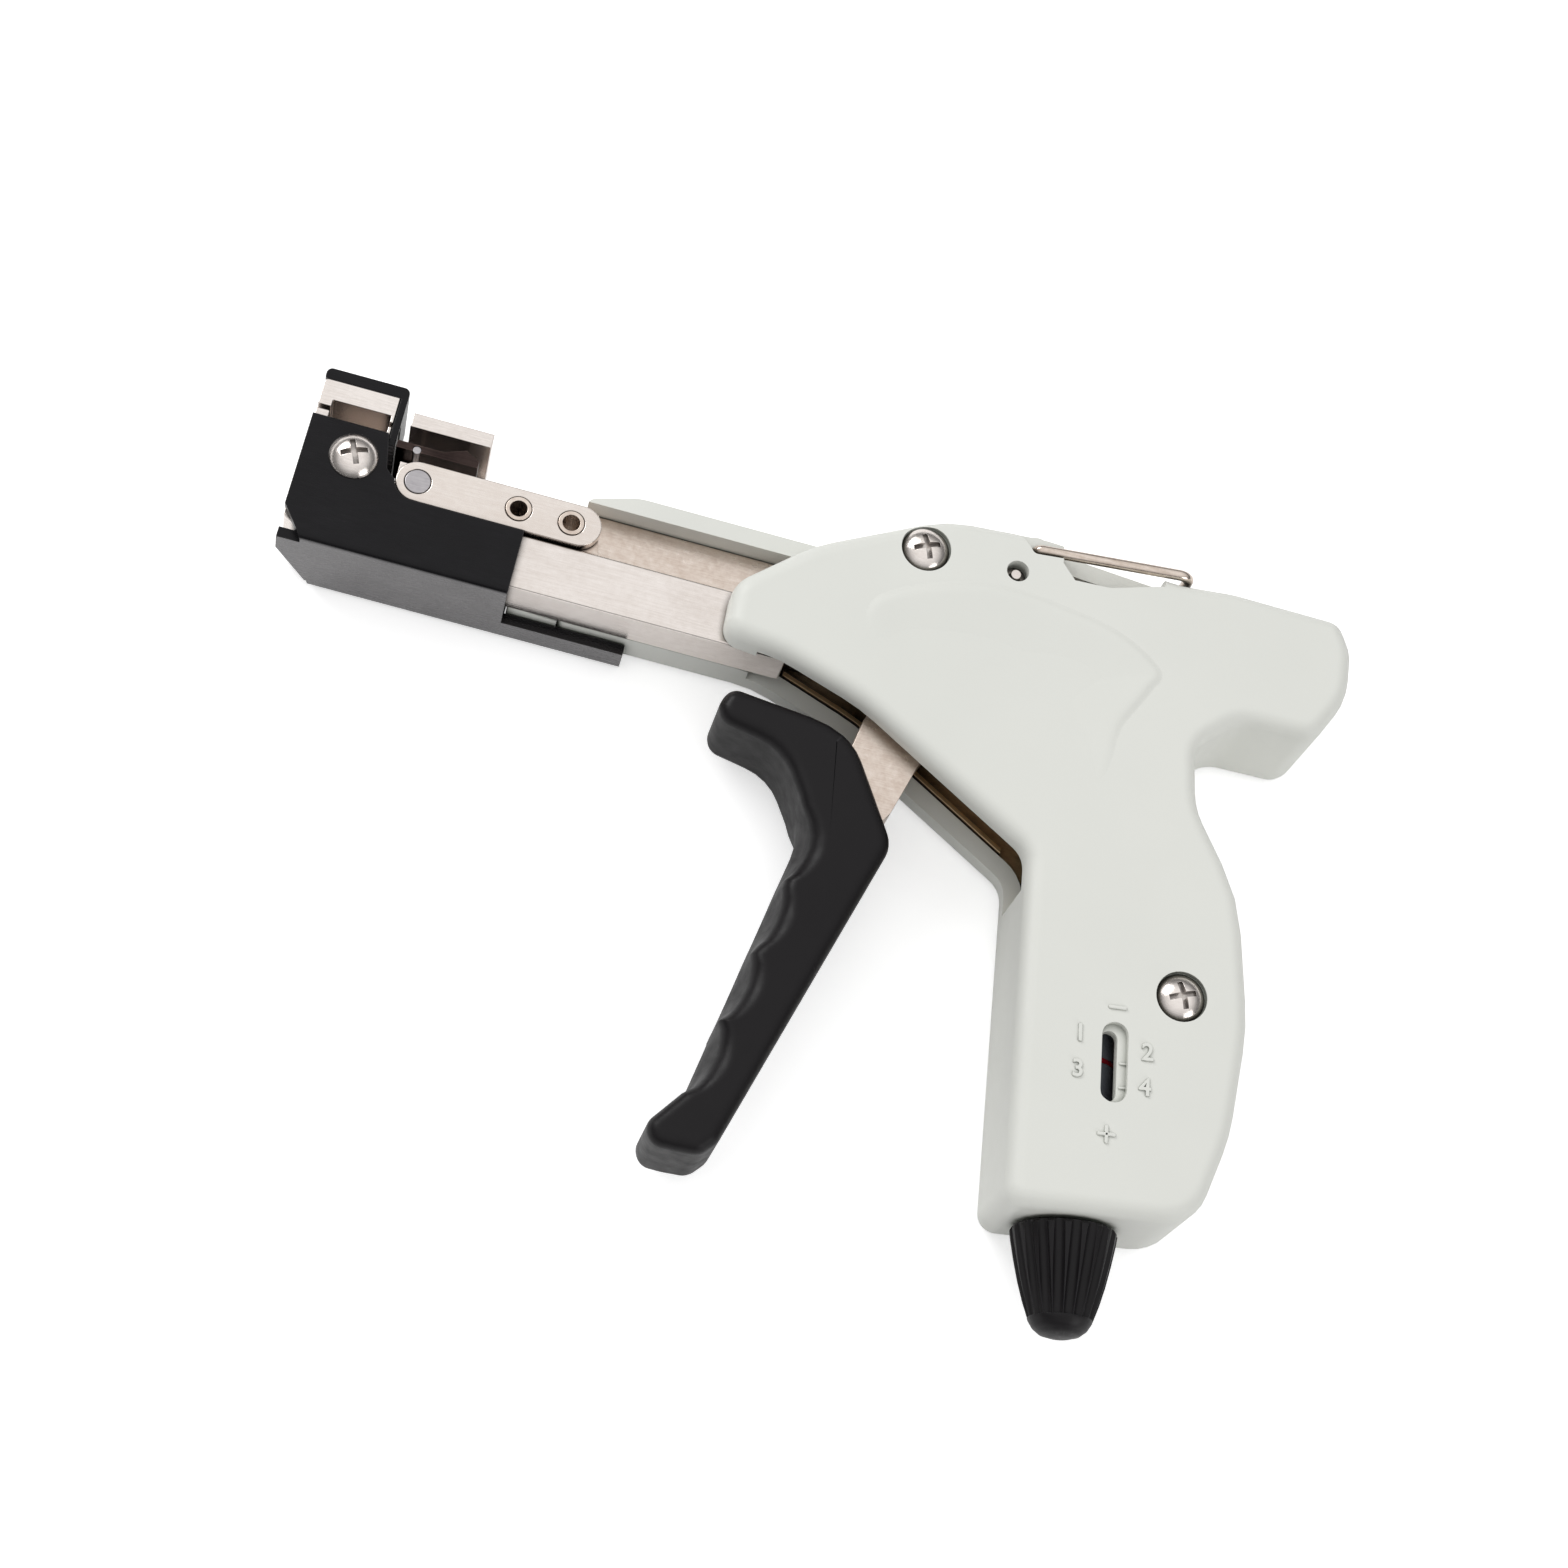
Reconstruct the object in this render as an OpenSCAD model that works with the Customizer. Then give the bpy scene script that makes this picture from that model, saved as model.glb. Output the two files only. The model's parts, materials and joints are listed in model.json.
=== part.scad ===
// Cable tie tensioning tool, lying on the flat of its right shell.
// X runs along the barrel with the nose towards -X, Y is up when the tool is held, and Z is its thickness.
// The origin is on the trigger pivot's axis, in the plane that the right shell rests on.

/* [Shells] */
// Length of the shells along the barrel, from the front tip to the tail
shell_length = 102; // [99:0.5:106]
// Height of the shells, from the top of the body to the foot of the handle
shell_height = 111.5; // [109:0.5:114]
// Thickness of the closed body
body_t = 22; // [21.8:0.1:23]
// Height of the seam between the two shells
seam_z = 13.5; // [12.5:0.1:14]
// Wall thickness of the shells
shell_wall = 3; // [2.8:0.05:3.1]
// Radius of the shells' outer edges
edge_r = 2.8; // [1.5:0.1:3]
// Depth of the left shell's edge along the trigger mouth
left_lip = 4; // [3.4:0.1:4.5]
// Height of the right shell's edge along the trigger mouth
right_lip = 5.5; // [4.5:0.1:5.7]

/* [Barrel] */
// Gap between the nose cover and the trough's front end
trough_gap = 8.6; // [8:0.1:10]
// Drop of the trough's top face below the pivot
trough_drop = 0.9; // [0.5:0.1:1.1]
// Height of the trough's bottom lip above the rest plane
trough_lip_z = 8; // [7.9:0.05:8.1]
// Sheet thickness of the barrel frame
frame_t = 1.6; // [1.2:0.1:2]
// Width of the frame's channel
frame_w = 8.1; // [8:0.1:8.6]
// Height of the frame's channel
frame_h = 9.45; // [9.2:0.05:9.6]
// How far the frame reaches in front of the pivot at its rear end
frame_rear = 33; // [32.8:0.1:35]

/* [Nose] */
// Reach of the nose in front of the pivot
nose_reach = 116; // [114:0.5:120]
// Width of the nose across its cover
nose_w = 17.3; // [17.2:0.1:17.8]
// Sheet thickness of the nose cover
cover_t = 1.3; // [1:0.1:1.5]
// Thickness of the cover's floor
cover_floor_t = 1.8; // [1.2:0.1:2.2]
// Length of the cover's side plates
cover_length = 37.4; // [35:0.2:40]
// Length of the tongue behind the cover
tongue_length = 20.3; // [10:0.5:24]
// Width of the tongue
tongue_w = 5.7; // [4:0.1:7]
// Length of the front head
head_length = 12.5; // [12.3:0.1:12.8]
// Height of the front head's top above the pivot
head_rise = 3.8; // [3:0.1:5]
// Sheet thickness of the head cap
cap_t = 2; // [1.4:0.1:2.4]

/* [Pulling parts] */
// Thickness of the pull bar
bar_t = 4.4; // [3.6:0.1:4.6]
// Height of the pull bar
bar_h = 9.9; // [9.6:0.05:9.95]
// Height of the two link plates
link_h = 7.1; // [6.6:0.1:7.2]
// Length of the link plates between their end holes
link_length = 27.1; // [26.8:0.1:29]
// Outer radius of the hollow pins
hollow_pin_r = 2.1; // [1.9:0.05:2.4]
// Bore radius of the hollow pins
hollow_bore_r = 1.4; // [1:0.05:1.6]
// Length of the gripper jaw
jaw_length = 13.4; // [13:0.1:14]

/* [Trigger] */
// Length of the trigger below the pivot
trigger_drop = 107.2; // [105:0.2:109]
// Width of the trigger grip
grip_w = 16.6; // [15:0.1:17]
// Radius of the grip's edges
grip_edge_r = 2.2; // [1.2:0.1:2.4]
// Plate thickness of the steel lever
lever_t = 2; // [1.6:0.1:2]
// Radius of the trigger pin
trigger_pin_r = 2.5; // [2:0.1:3]
// Radius of the small pins of the linkage
pin_r = 1.5; // [1.2:0.05:1.6]

/* [Tension gear] */
// Radius of the knob
knob_r = 8.4; // [7.5:0.1:9]
// Length of the knob
knob_length = 16.6; // [14:0.2:19]
// Number of grooves round the knob
knob_grooves = 20; // [12:1:24]
// Number of turns of the tension spring
spring_turns = 9; // [6:1:11]

/* [Fasteners] */
// Head radius of the pan-head screws
screw_head_r = 4; // [3.6:0.1:4.2]
// Shank radius of the body screws
screw_r = 2; // [1.5:0.1:2.2]
// Shank radius of the nose screw
nose_screw_r = 1.75; // [1.5:0.05:1.8]
// Radius of the bail's wire
bail_r = 0.9; // [0.7:0.05:0.9]

/* [Hidden] */
$fn = 48;

// Overrun of every cut
cut = 1;
// Gap between pieces that are fitted together
fit = 0.1;
// Gap between pieces that slide or turn on each other
slide_fit = 0.15;
// Radial clearance of pins in their bores
pin_fit = 0.05;
// Radial clearance at the linkage's open pivots
open_fit = 0.5;
// Smallest corner radius
least_r = 0.2;
// Largest turn between two points of a rounded corner, in degrees
arc_step = 12;
// Steps across a rounded edge
edge_steps = 4;

// Corners of the body's outline, as shares of shell_length and shell_height, with a radius share
// of shell_length, counter-clockwise from the underside of the front tip
body_shares = [
    [-0.431, -0.212, 0.031], [-0.333, -0.221, 0.196], [-0.196, -0.262, 0.294], [0.102, -0.420, 0.044],
    [0.166, -0.926, 0.030], [0.457, -0.890, 0.078], [0.489, -0.753, 0.294], [0.489, -0.592, 0.392],
    [0.444, -0.404, 0.294], [0.353, -0.287, 0.118], [0.335, -0.193, 0.049], [0.397, -0.138, 0.059],
    [0.522, -0.135, 0.039], [0.567, -0.054, 0.118], [0.561, 0.022, 0.078], [0.534, 0.065, 0.031],
    [0.353, 0.066, 0.196], [0.265, 0.057, 0.196], [0.039, 0.072, 0.245], [-0.127, 0.059, 0.196],
    [-0.324, -0.038, 0.245], [-0.434, -0.130, 0.054]
];
function placed(s) = [s[0] * shell_length, s[1] * shell_height];
function corner(s) = [s[0] * shell_length, s[1] * shell_height, s[2] * shell_length];

body_corners = [for (s = body_shares) corner(s)];
body_last = len(body_corners) - 3;

// Offsets, walls and gaps of the pieces, in order from the nose to the knob
bar_rise = 2;
screw_boss_wall = 0.5;
pivot_boss_wall = 0.9;
small_boss_wall = 1.6;
lever_gap = 2.2;
link_span = 21.5;
nose_screw_in = 8.2;
nose_screw_drop = 9.3;
window_in = 2.2;
ramp_room = 5;
blade_in = 1.6;
blade_lift = 1.9;
jaw_gap = 2.8;
rivet_in = 3.7;
hollow_in = 16.6;
hollow_pitch = 8.7;
bar_gap = 2.5;
shelf_drop = 1.2;
shelf_lead = 2;
spine_t = 2.8;
pawl_in = 1.2;
pawl_pin_in = 2.1;
hollow_reach = 1.5;
nib_drop = 1.2;
cutoff_drop = 0.9;
bush_rise = 1.9;
bush_wall = 2.5;
clip_t = 0.9;
clip_wall = 1.5;
clip_gap = 6.2;
cap_set = 0.8;
stem_in = 7;
rod_gap = 1.6;
sleeve_wall = 1.2;
ring_w = 0.8;
ring_t = 0.5;
fork_floor = 1.7;
// Height of the cut-off bar's pin over the rocker's pivot
rocker_rise = 13.008;
// Shares: the sleeve's radius of shell_length; the stem's, rod's and wire's radii of the sleeve's;
// the pin's and guide's places on the rod's run; the ring's place on the sleeve; the spring's leg
sleeve_share = 0.0686275;
stem_share = 0.428571;
rod_share = 0.357143;
wire_share = 0.121429;
reach_share = 0.28169;
guide_share = 0.070423;
ring_share = 0.397059;
leg_share = 0.0718;

sleeve_r = sleeve_share * shell_length;
stem_r = stem_share * sleeve_r;
rod_r = rod_share * sleeve_r;
spring_wire_r = wire_share * sleeve_r;
trough_reach = nose_reach - cover_length - trough_gap;

// Heights and drops that the barrel's pieces share
trough_top = -trough_drop;
trough_under = trough_top - shell_wall;
bar_top = trough_under - slide_fit;
bar_bottom = bar_top - bar_h;
bar_far = shell_wall + bar_rise;
bar_near = bar_far + bar_t;
frame_top = bar_bottom - 0.2 * slide_fit - slide_fit;
frame_bottom = frame_top - frame_h;
trough_bottom = frame_bottom + 2 * fit;
nose_clear = 0.4;
cover_near = nose_clear + nose_w;
frame_near = cover_near - cover_t - fit;
frame_far = frame_near - frame_w;
link_y = bar_bottom + 0.36 * bar_h;
link_near = cover_near - 4 * fit;
link_t = 1.8;
far_link_far = shell_wall + 3 * fit;
far_link_near = bar_far - fit;
link_block_near = link_near - link_t - fit;

// The right shell's outline follows the body's, with the trough in place of the front tip
trough_lead = 8;
trough_slope = 2.5;
right_corners = concat(
    [[-trough_reach, trough_bottom, edge_r / 2],
     [body_corners[1].x - trough_slope, trough_bottom, body_corners[1][2]]],
    [for (i = [2:body_last + 0]) body_corners[i]],
    [[body_corners[body_last].x - trough_lead * 1.8, trough_top, trough_lead],
     [trough_lead - trough_reach, trough_top, trough_lead],
     [-trough_reach, trough_top - trough_slope, edge_r / 2]]
);

// Region where both shells stand open for the trigger, as shares like the outline's
mouth_shares = [[-0.372, -0.184], [-0.372, -0.310], [-0.100, -0.520], [0.140, -0.462], [0.140, -0.372],
    [-0.150, -0.215]];
// The part of the mouth that the right inner plate's flange follows
flange_shares = [[-0.316, -0.170], [-0.316, -0.310], [-0.100, -0.520], [0.085, -0.480], [0.085, -0.330],
    [-0.150, -0.200]];
// Places of the two body screws and of the bail's pivot
body_screw_shares = [[-0.151, -0.003], [0.375, -0.577]];
bail_share = [0.026, 0.047];
bail_leg_share = [0.253, 0.0233];
// Finger notch in the left shell, under the folded bail
notch_shares = [[0.069, 0.033], [0.093, 0.010], [0.152, 0.013], [0.240, 0.040], [0.240, 0.100],
    [0.069, 0.100]];

bail_leg = placed(bail_leg_share);
screw_boss_r = screw_head_r + screw_boss_wall;
screw_recess = 1;
pivot_boss_r = trigger_pin_r + pivot_boss_wall;
small_boss_r = pin_r + small_boss_wall;
nut_r = 2 * screw_r;
nut_h = 2.9;
nose_nut_r = 1.6 * nose_screw_r;
nut_turn = 30;
body_mid = body_t / 2;
inside_near = body_t - shell_wall;
plate_t = 1.5;
flange_z = 9.7;
flange_top = right_lip + 0.7;
flange_t = plate_t / 2;

// The steel lever's plates, with the drive link between them
lever_far = flange_z + 3 * fit;
lever_near = lever_far + 2 * lever_t + lever_gap;
drive_t = 1.6;
drive_far = lever_far + lever_t + 3 * fit;
lever_shares = [[-0.061, 0.013], [-0.184, -0.270], [-0.196, -0.330], [-0.214, -0.466], [-0.167, -0.484],
    [-0.112, -0.400], [-0.082, -0.309], [0.054, -0.027]];
lever_head_r = pivot_boss_r + pivot_boss_wall;
lever_pin_at = [-0.093 * shell_length, -0.206 * shell_height];
bar_pin_at = [lever_pin_at.x - link_span, link_y - 0.11 * bar_h];

// The handle's axis runs square to the handle's foot
foot_a = body_corners[4];
foot_b = body_corners[5];
handle_tilt = atan2(foot_b.y - foot_a.y, foot_b.x - foot_a.x);
handle_x = 0.2805 * shell_length;
handle_foot = [handle_x, foot_a.y + (handle_x - foot_a.x) * tan(handle_tilt)];
axis_up = [-sin(handle_tilt), cos(handle_tilt)];
axis_across = [cos(handle_tilt), sin(handle_tilt)];
// The cut-off bar runs below the pull bar and lifts the blade
cutoff_top = frame_top - cutoff_drop;
cutoff_h = 4.4;
cutoff_far = bar_far - 2 * fit;
cutoff_t = 3;
cutoff_y = cutoff_top - cutoff_h / 2;
// Distances up that axis from the handle's foot, with the rod's pin beside the rocker's pivot
rocker_arm = 8;
rod_pin_up = (cutoff_y - rocker_rise - rocker_arm * axis_across.y - handle_foot.y) / axis_up.y;
bush_top = shell_wall + bush_rise;
clip_top = bush_top + clip_t;
sleeve_foot = clip_top + clip_gap;
guide_foot = (1 - reach_share) * rod_pin_up;
sleeve_top = guide_foot - guide_share * rod_pin_up;
sleeve_length = sleeve_top - sleeve_foot;
nut_wall = 4;
spring_foot = sleeve_foot + nut_wall + fit;
cap_foot = sleeve_top - cap_set;
rod_cap_t = 1.8;
guide_t = 4;
stem_top = sleeve_foot + stem_in;
rod_foot = stem_top + rod_gap;
ring_at = sleeve_foot + ring_share * sleeve_length;
rod_pin_at = handle_foot + rod_pin_up * axis_up;
rocker_at = rod_pin_at + rocker_arm * axis_across;
rocker_t = 2.8;
cutoff_pin_at = [rocker_at.x, cutoff_y];
head_rear = -nose_reach + head_length;
blade_t = 1;
blade_x = head_rear - blade_in;
window_top = 0.3;
window_floor = -3;
slit_h = 0.8;
slit_y = -1.3;
nose_screw_at = [nose_screw_in - nose_reach, -nose_screw_drop];
jaw_front = head_rear + jaw_gap;
jaw_rivet_at = [jaw_front + rivet_in, link_y];

function unit(v) = v / norm(v);
function turn(u, v) = u.x * v.y - u.y * v.x;

// Corners moved inwards by d, with their radii kept concentric
function inset(c, d) = let (n = len(c)) [
    for (i = [0:n - 1])
        let (
            a = [c[(i + n - 1) % n].x, c[(i + n - 1) % n].y],
            b = [c[i].x, c[i].y],
            e = [c[(i + 1) % n].x, c[(i + 1) % n].y],
            u = unit(b - a),
            v = unit(e - b),
            m = [u.y, -u.x],
            k = [v.y, -v.x],
            p = b - d * (m + k) / (1 + m * k)
        )
        [p.x, p.y, turn(u, v) > 0 ? max(c[i][2] - d, least_r) : c[i][2] + d]
];

// Points round one corner b of radius r, between its neighbours a and c
function corner_arc(a, b, c, r) =
    let (
        u = unit(a - b),
        v = unit(c - b),
        open = acos(u * v),
        swing = 180 - open,
        steps = max(2, ceil(swing / arc_step)),
        o = b + unit(u + v) * r / sin(open / 2),
        p = b + u * r / tan(open / 2),
        q = b + v * r / tan(open / 2),
        from = atan2(p.y - o.y, p.x - o.x),
        sweep = (atan2(q.y - o.y, q.x - o.x) - from + 540) % 360 - 180
    )
    [for (k = [0:steps]) o + r * [cos(from + sweep * k / steps), sin(from + sweep * k / steps)]];

function outline(c) = let (n = len(c)) [
    for (i = [0:n - 1])
        each corner_arc([c[(i + n - 1) % n].x, c[(i + n - 1) % n].y], [c[i].x, c[i].y],
            [c[(i + 1) % n].x, c[(i + 1) % n].y], c[i][2])
];

// Triangles that fill a flat outline, found by taking off one corner at a time
function covers(a, b, c, p) = turn(b - a, p - a) >= 0 && turn(c - b, p - b) >= 0 && turn(a - c, p - c) >= 0;
function is_ear(pts, left, k) =
    let (
        n = len(left),
        i = left[(k + n - 1) % n],
        j = left[k],
        m = left[(k + 1) % n],
        a = pts[i],
        b = pts[j],
        c = pts[m]
    )
    turn(b - a, c - b) > 0
        && len([for (q = left) if (q != i && q != j && q != m && covers(a, b, c, pts[q])) q]) == 0;
function first_ear(pts, left, k) = k >= len(left) - 1 || is_ear(pts, left, k) ? k : first_ear(pts, left, k + 1);
function filled(pts, left) = len(left) < 4 ? [left] :
    let (k = first_ear(pts, left, 0), n = len(left))
    concat([[left[(k + n - 1) % n], left[k], left[(k + 1) % n]]],
        filled(pts, [for (i = [0:n - 1]) if (i != k) left[i]]));

// Inset and height of each ring of a body whose edges are rounded by r0 below and r1 above
function ring_levels(z0, z1, r0, r1) = concat(
    r0 > 0 ? [for (k = [0:edge_steps])
        [r0 * (1 - sin(90 * k / edge_steps)), z0 + r0 * (1 - cos(90 * k / edge_steps))]] : [[0, z0]],
    r1 > 0 ? [for (k = [edge_steps:-1:0])
        [r1 * (1 - sin(90 * k / edge_steps)), z1 - r1 * (1 - cos(90 * k / edge_steps))]] : [[0, z1]]
);

// A solid between two heights over a rounded outline, with rounded edges
module rounded_block(corners, z0, z1, r0, r1) {
    rings = [for (l = ring_levels(z0, z1, r0, r1))
        [for (p = outline(inset(corners, l[0]))) [p.x, p.y, l[1]]]];
    n = len(rings[0]);
    m = len(rings);
    polyhedron(
        points = [for (r = rings) each r],
        faces = concat(
            [for (t = filled([for (p = rings[0]) [p.x, p.y]], [for (i = [0:n - 1]) i])) t],
            [for (j = [0:m - 2]) for (i = [0:n - 1])
                let (a = j * n + i, b = j * n + (i + 1) % n) each [[a, a + n, b + n], [a, b + n, b]]],
            [for (t = filled([for (p = rings[m - 1]) [p.x, p.y]], [for (i = [0:n - 1]) i]))
                [for (i = [2, 1, 0]) (m - 1) * n + t[i]]]
        )
    );
}

module slab(points, z0, z1) {
    translate([0, 0, z0]) linear_extrude(z1 - z0) polygon(points);
}

module post(at, r, z0, z1) {
    translate([at.x, at.y, z0]) cylinder(h = z1 - z0, r = r);
}

module block(x0, x1, y0, y1, z0, z1) {
    translate([x0, y0, z0]) cube([x1 - x0, y1 - y0, z1 - z0]);
}

// A flat bar with round ends from p to q
module strap(p, q, r, z0, z1) {
    post(p, r, z0, z1);
    post(q, r, z0, z1);
    d = q - p;
    translate([p.x, p.y, z0]) rotate([0, 0, atan2(d.y, d.x)]) translate([0, -r, 0])
        cube([norm(d), 2 * r, z1 - z0]);
}

// A lever arm from p to q with round eyes that are wider and a little thicker than its shank
module arm(p, q, r, z0, z1) {
    post(p, r, z0, z1);
    post(q, r, z0, z1);
    shank(p, q, 1.4 * r, z0, z1);
}

module shank(p, q, w, z0, z1) {
    d = q - p;
    translate([p.x, p.y, z0 + fit]) rotate([0, 0, atan2(d.y, d.x)]) translate([0, -w / 2, 0])
        cube([norm(d), w, z1 - z0 - 2 * fit]);
}

// Children stand on the handle's axis, with Z running up the handle from its foot
module on_handle_axis() {
    translate([handle_foot.x, handle_foot.y, body_mid]) rotate([0, 0, handle_tilt]) rotate([-90, 0, 0])
        children();
}

// A round wire swept along points, with the given number of sides, never running along the given direction
module wire(points, r, sides, off = [0, 0, 1]) {
    n = len(points);
    along = [for (i = [0:n - 1]) unit(points[min(i + 1, n - 1)] - points[max(i - 1, 0)])];
    ring = [for (i = [0:n - 1])
        let (
            side = unit(cross(along[i], off)),
            rise = cross(side, along[i])
        )
        for (k = [0:sides - 1])
            points[i] + r * (cos(360 * k / sides) * side + sin(360 * k / sides) * rise)];
    polyhedron(
        points = ring,
        faces = concat(
            [[for (k = [sides - 1:-1:0]) k]],
            [for (i = [0:n - 2]) for (k = [0:sides - 1])
                let (a = i * sides + k, b = i * sides + (k + 1) % sides)
                each [[a, b, b + sides], [a, b + sides, a + sides]]],
            [[for (k = [0:sides - 1]) (n - 1) * sides + k]]
        )
    );
}

function coil(r, z0, z1, turns, steps) = [
    for (i = [0:round(turns * steps)])
        [r * cos(360 * i / steps), r * sin(360 * i / steps), z0 + (z1 - z0) * i / round(turns * steps)]
];

module pan_screw(at, z_head, z_tip, r) {
    head_h = 0.55 * screw_head_r;
    dome_r = (screw_head_r * screw_head_r + head_h * head_h) / (2 * head_h);
    translate([at.x, at.y, z_head]) difference() {
        intersection() {
            cylinder(h = head_h, r = screw_head_r);
            translate([0, 0, head_h - dome_r]) sphere(r = dome_r);
        }
        for (a = [0, 90]) rotate([0, 0, a + handle_tilt * 3])
            translate([-screw_head_r * 0.55, -screw_head_r * 0.11, head_h * 0.45])
                cube([screw_head_r * 1.1, screw_head_r * 0.22, head_h]);
    }
    post(at, r, z_tip, z_head);
}

module hex_nut(at, z0, r, bore) {
    translate([at.x, at.y, z0]) rotate([0, 0, nut_turn]) difference() {
        cylinder(h = nut_h, r = r, $fn = 6);
        translate([0, 0, -cut]) cylinder(h = nut_h + 2 * cut, r = bore + pin_fit);
    }
}

// Bosses and bores that both shells share, between two heights inside the shell
module shell_bosses(z0, z1, pivot_z0, pivot_z1) {
    for (s = body_screw_shares) post(placed(s), screw_boss_r, z0, z1);
    post([0, 0], pivot_boss_r, pivot_z0, pivot_z1);
}

module handle_bores() {
    on_handle_axis() translate([0, 0, -cut]) cylinder(h = shell_wall + 2 * cut, r = stem_r + bush_wall + fit);
}

// Room for the bail's legs, which lie flush with the faces near the top edge
module bail_groove(z0, z1) {
    p = placed(bail_share);
    w = 1.4 * bail_r;
    reach = 1.08 * norm(bail_leg);
    slab([[p.x, p.y - w], [p.x + reach, p.y - w + 0.11 * reach], [p.x + reach, p.y + reach],
        [p.x - reach / 4, p.y + reach], [p.x - reach / 4, p.y + reach / 5], [p.x - w, p.y - w / 3]], z0, z1);
    post(p, w, z0, z1);
}

module right_shell() {
    color([0.80, 0.81, 0.78]) difference() {
        union() {
            difference() {
                rounded_block(right_corners, 0, seam_z, edge_r, 0);
                slab(outline(inset(right_corners, shell_wall)), shell_wall, seam_z + cut);
            }
            shell_bosses(shell_wall - cut, seam_z, shell_wall - cut, lever_far - fit);
            post(rocker_at, small_boss_r, shell_wall - cut, body_mid - rocker_t / 2 - 2 * fit);
            post(placed(bail_share), 3 * bail_r, shell_wall - cut, shell_wall + 2 * bail_r);
        }
        slab([for (s = mouth_shares) placed(s)], right_lip, seam_z + cut);
        block(-trough_reach - cut, -trough_reach + 3 * trough_lead, trough_bottom + shell_wall, trough_under,
            shell_wall, seam_z + cut);
        block(-trough_reach - cut, -frame_rear + 2 * fit, trough_bottom - cut, trough_bottom + shell_wall + cut,
            trough_lip_z, seam_z + cut);
        for (s = body_screw_shares) {
            post(placed(s), screw_r + pin_fit, -cut, seam_z + cut);
            translate([placed(s).x, placed(s).y, -cut]) rotate([0, 0, nut_turn])
                cylinder(h = nut_h + 4 * fit + cut, r = nut_r + fit, $fn = 6);
        }
        post([0, 0], trigger_pin_r + pin_fit, shell_wall - fit, seam_z + cut);
        post(rocker_at, pin_r + pin_fit, shell_wall - fit, seam_z + cut);
        post(placed(bail_share), bail_r + pin_fit, -cut, seam_z);
        bail_groove(-cut, 2 * bail_r + fit);
        handle_bores();
    }
}

module left_shell() {
    color([0.84, 0.85, 0.82]) difference() {
        union() {
            difference() {
                rounded_block(body_corners, seam_z, body_t, 0, edge_r);
                slab(outline(inset(body_corners, shell_wall)), seam_z - cut, inside_near);
            }
            shell_bosses(seam_z, inside_near + cut, lever_near + fit, inside_near + cut);
            post(rocker_at, small_boss_r, body_mid + rocker_t / 2 + 2 * fit, inside_near + cut);
            post(placed(bail_share), 3 * bail_r, inside_near - 2 * bail_r, inside_near + cut);
        }
        slab([for (s = mouth_shares) placed(s)], 0, body_t - left_lip);
        block(-trough_reach, -frame_rear + 2 * fit, frame_bottom - cut, frame_top + fit, 0, frame_near + fit);
        for (s = body_screw_shares) {
            post(placed(s), screw_r + pin_fit, seam_z - cut, body_t + cut);
            post(placed(s), screw_head_r + fit, body_t - screw_recess, body_t + cut);
        }
        post([0, 0], trigger_pin_r + pin_fit, 0, inside_near + fit);
        post([0, 0], 0.74 * trigger_pin_r, inside_near, body_t + cut);
        post(rocker_at, pin_r + pin_fit, 0, inside_near + fit);
        post(placed(bail_share), bail_r + pin_fit, seam_z - cut, body_t + cut);
        bail_groove(body_t - 2 * bail_r - fit, body_t + cut);
        slab([for (s = notch_shares) placed(s)], body_t - 1.8 * shell_wall, body_t + cut);
        indicator_slot();
        handle_bores();
    }
}

// The slot that shows the indicator, and the shallow step round it
module indicator_slot() {
    slot_r = 0.193 * sleeve_r;
    rim_r = 0.3 * sleeve_r;
    reach = 3.2 * slot_r;
    at = handle_foot + (ring_at - 0.3 * sleeve_r) * axis_up + 0.5 * sleeve_r * axis_across;
    rim = at + 0.1 * sleeve_r * axis_across + 0.06 * sleeve_r * axis_up;
    strap(at - reach * axis_up, at + reach * axis_up, slot_r, seam_z, body_t + cut);
    strap(rim - reach * axis_up, rim + reach * axis_up, rim_r, body_t - 0.4 * shell_wall, body_t + cut);
}

module body_screws() {
    color([0.86, 0.84, 0.80]) for (s = body_screw_shares)
        pan_screw(placed(s), body_t - screw_recess, screw_recess, screw_r);
}

module body_nuts() {
    color([0.75, 0.74, 0.70]) for (s = body_screw_shares) hex_nut(placed(s), 3 * fit, nut_r, screw_r);
}

module plate_blank(corners, z0, z1) {
    translate([0, 0, z0]) linear_extrude(z1 - z0) intersection() {
        polygon(outline(inset(corners, shell_wall + 2 * fit)));
        translate([-frame_rear + 4 * fit, -0.41 * shell_height])
            square([frame_rear + 0.13 * shell_length, 0.5 * shell_height]);
    }
}

module boss_holes(z0, z1) {
    post(placed(body_screw_shares[0]), screw_boss_r + fit, z0, z1);
    post([0, 0], pivot_boss_r + fit, z0, z1);
    post(placed(bail_share), 3 * bail_r + fit, z0, z1);
}

module inner_plate_right() {
    z0 = shell_wall + fit;
    color([0.72, 0.62, 0.46]) {
        difference() {
            plate_blank(right_corners, z0, z0 + plate_t);
            boss_holes(z0 - cut, z0 + plate_t + cut);
        }
        translate([0, 0, z0 + plate_t]) linear_extrude(flange_top - z0 - plate_t) intersection() {
            difference() {
                polygon(outline(inset(right_corners, shell_wall + 2 * fit)));
                polygon(outline(inset(right_corners, shell_wall + 2 * fit + flange_t)));
            }
            polygon([for (s = flange_shares) placed(s)]);
        }
    }
}

module inner_plate_left() {
    z1 = inside_near - fit;
    color([0.72, 0.62, 0.46]) difference() {
        plate_blank(body_corners, z1 - plate_t, z1);
        boss_holes(z1 - plate_t - cut, z1 + cut);
        slab([for (s = notch_shares) placed(s)], z1 - plate_t - cut, z1 + cut);
    }
}

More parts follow.
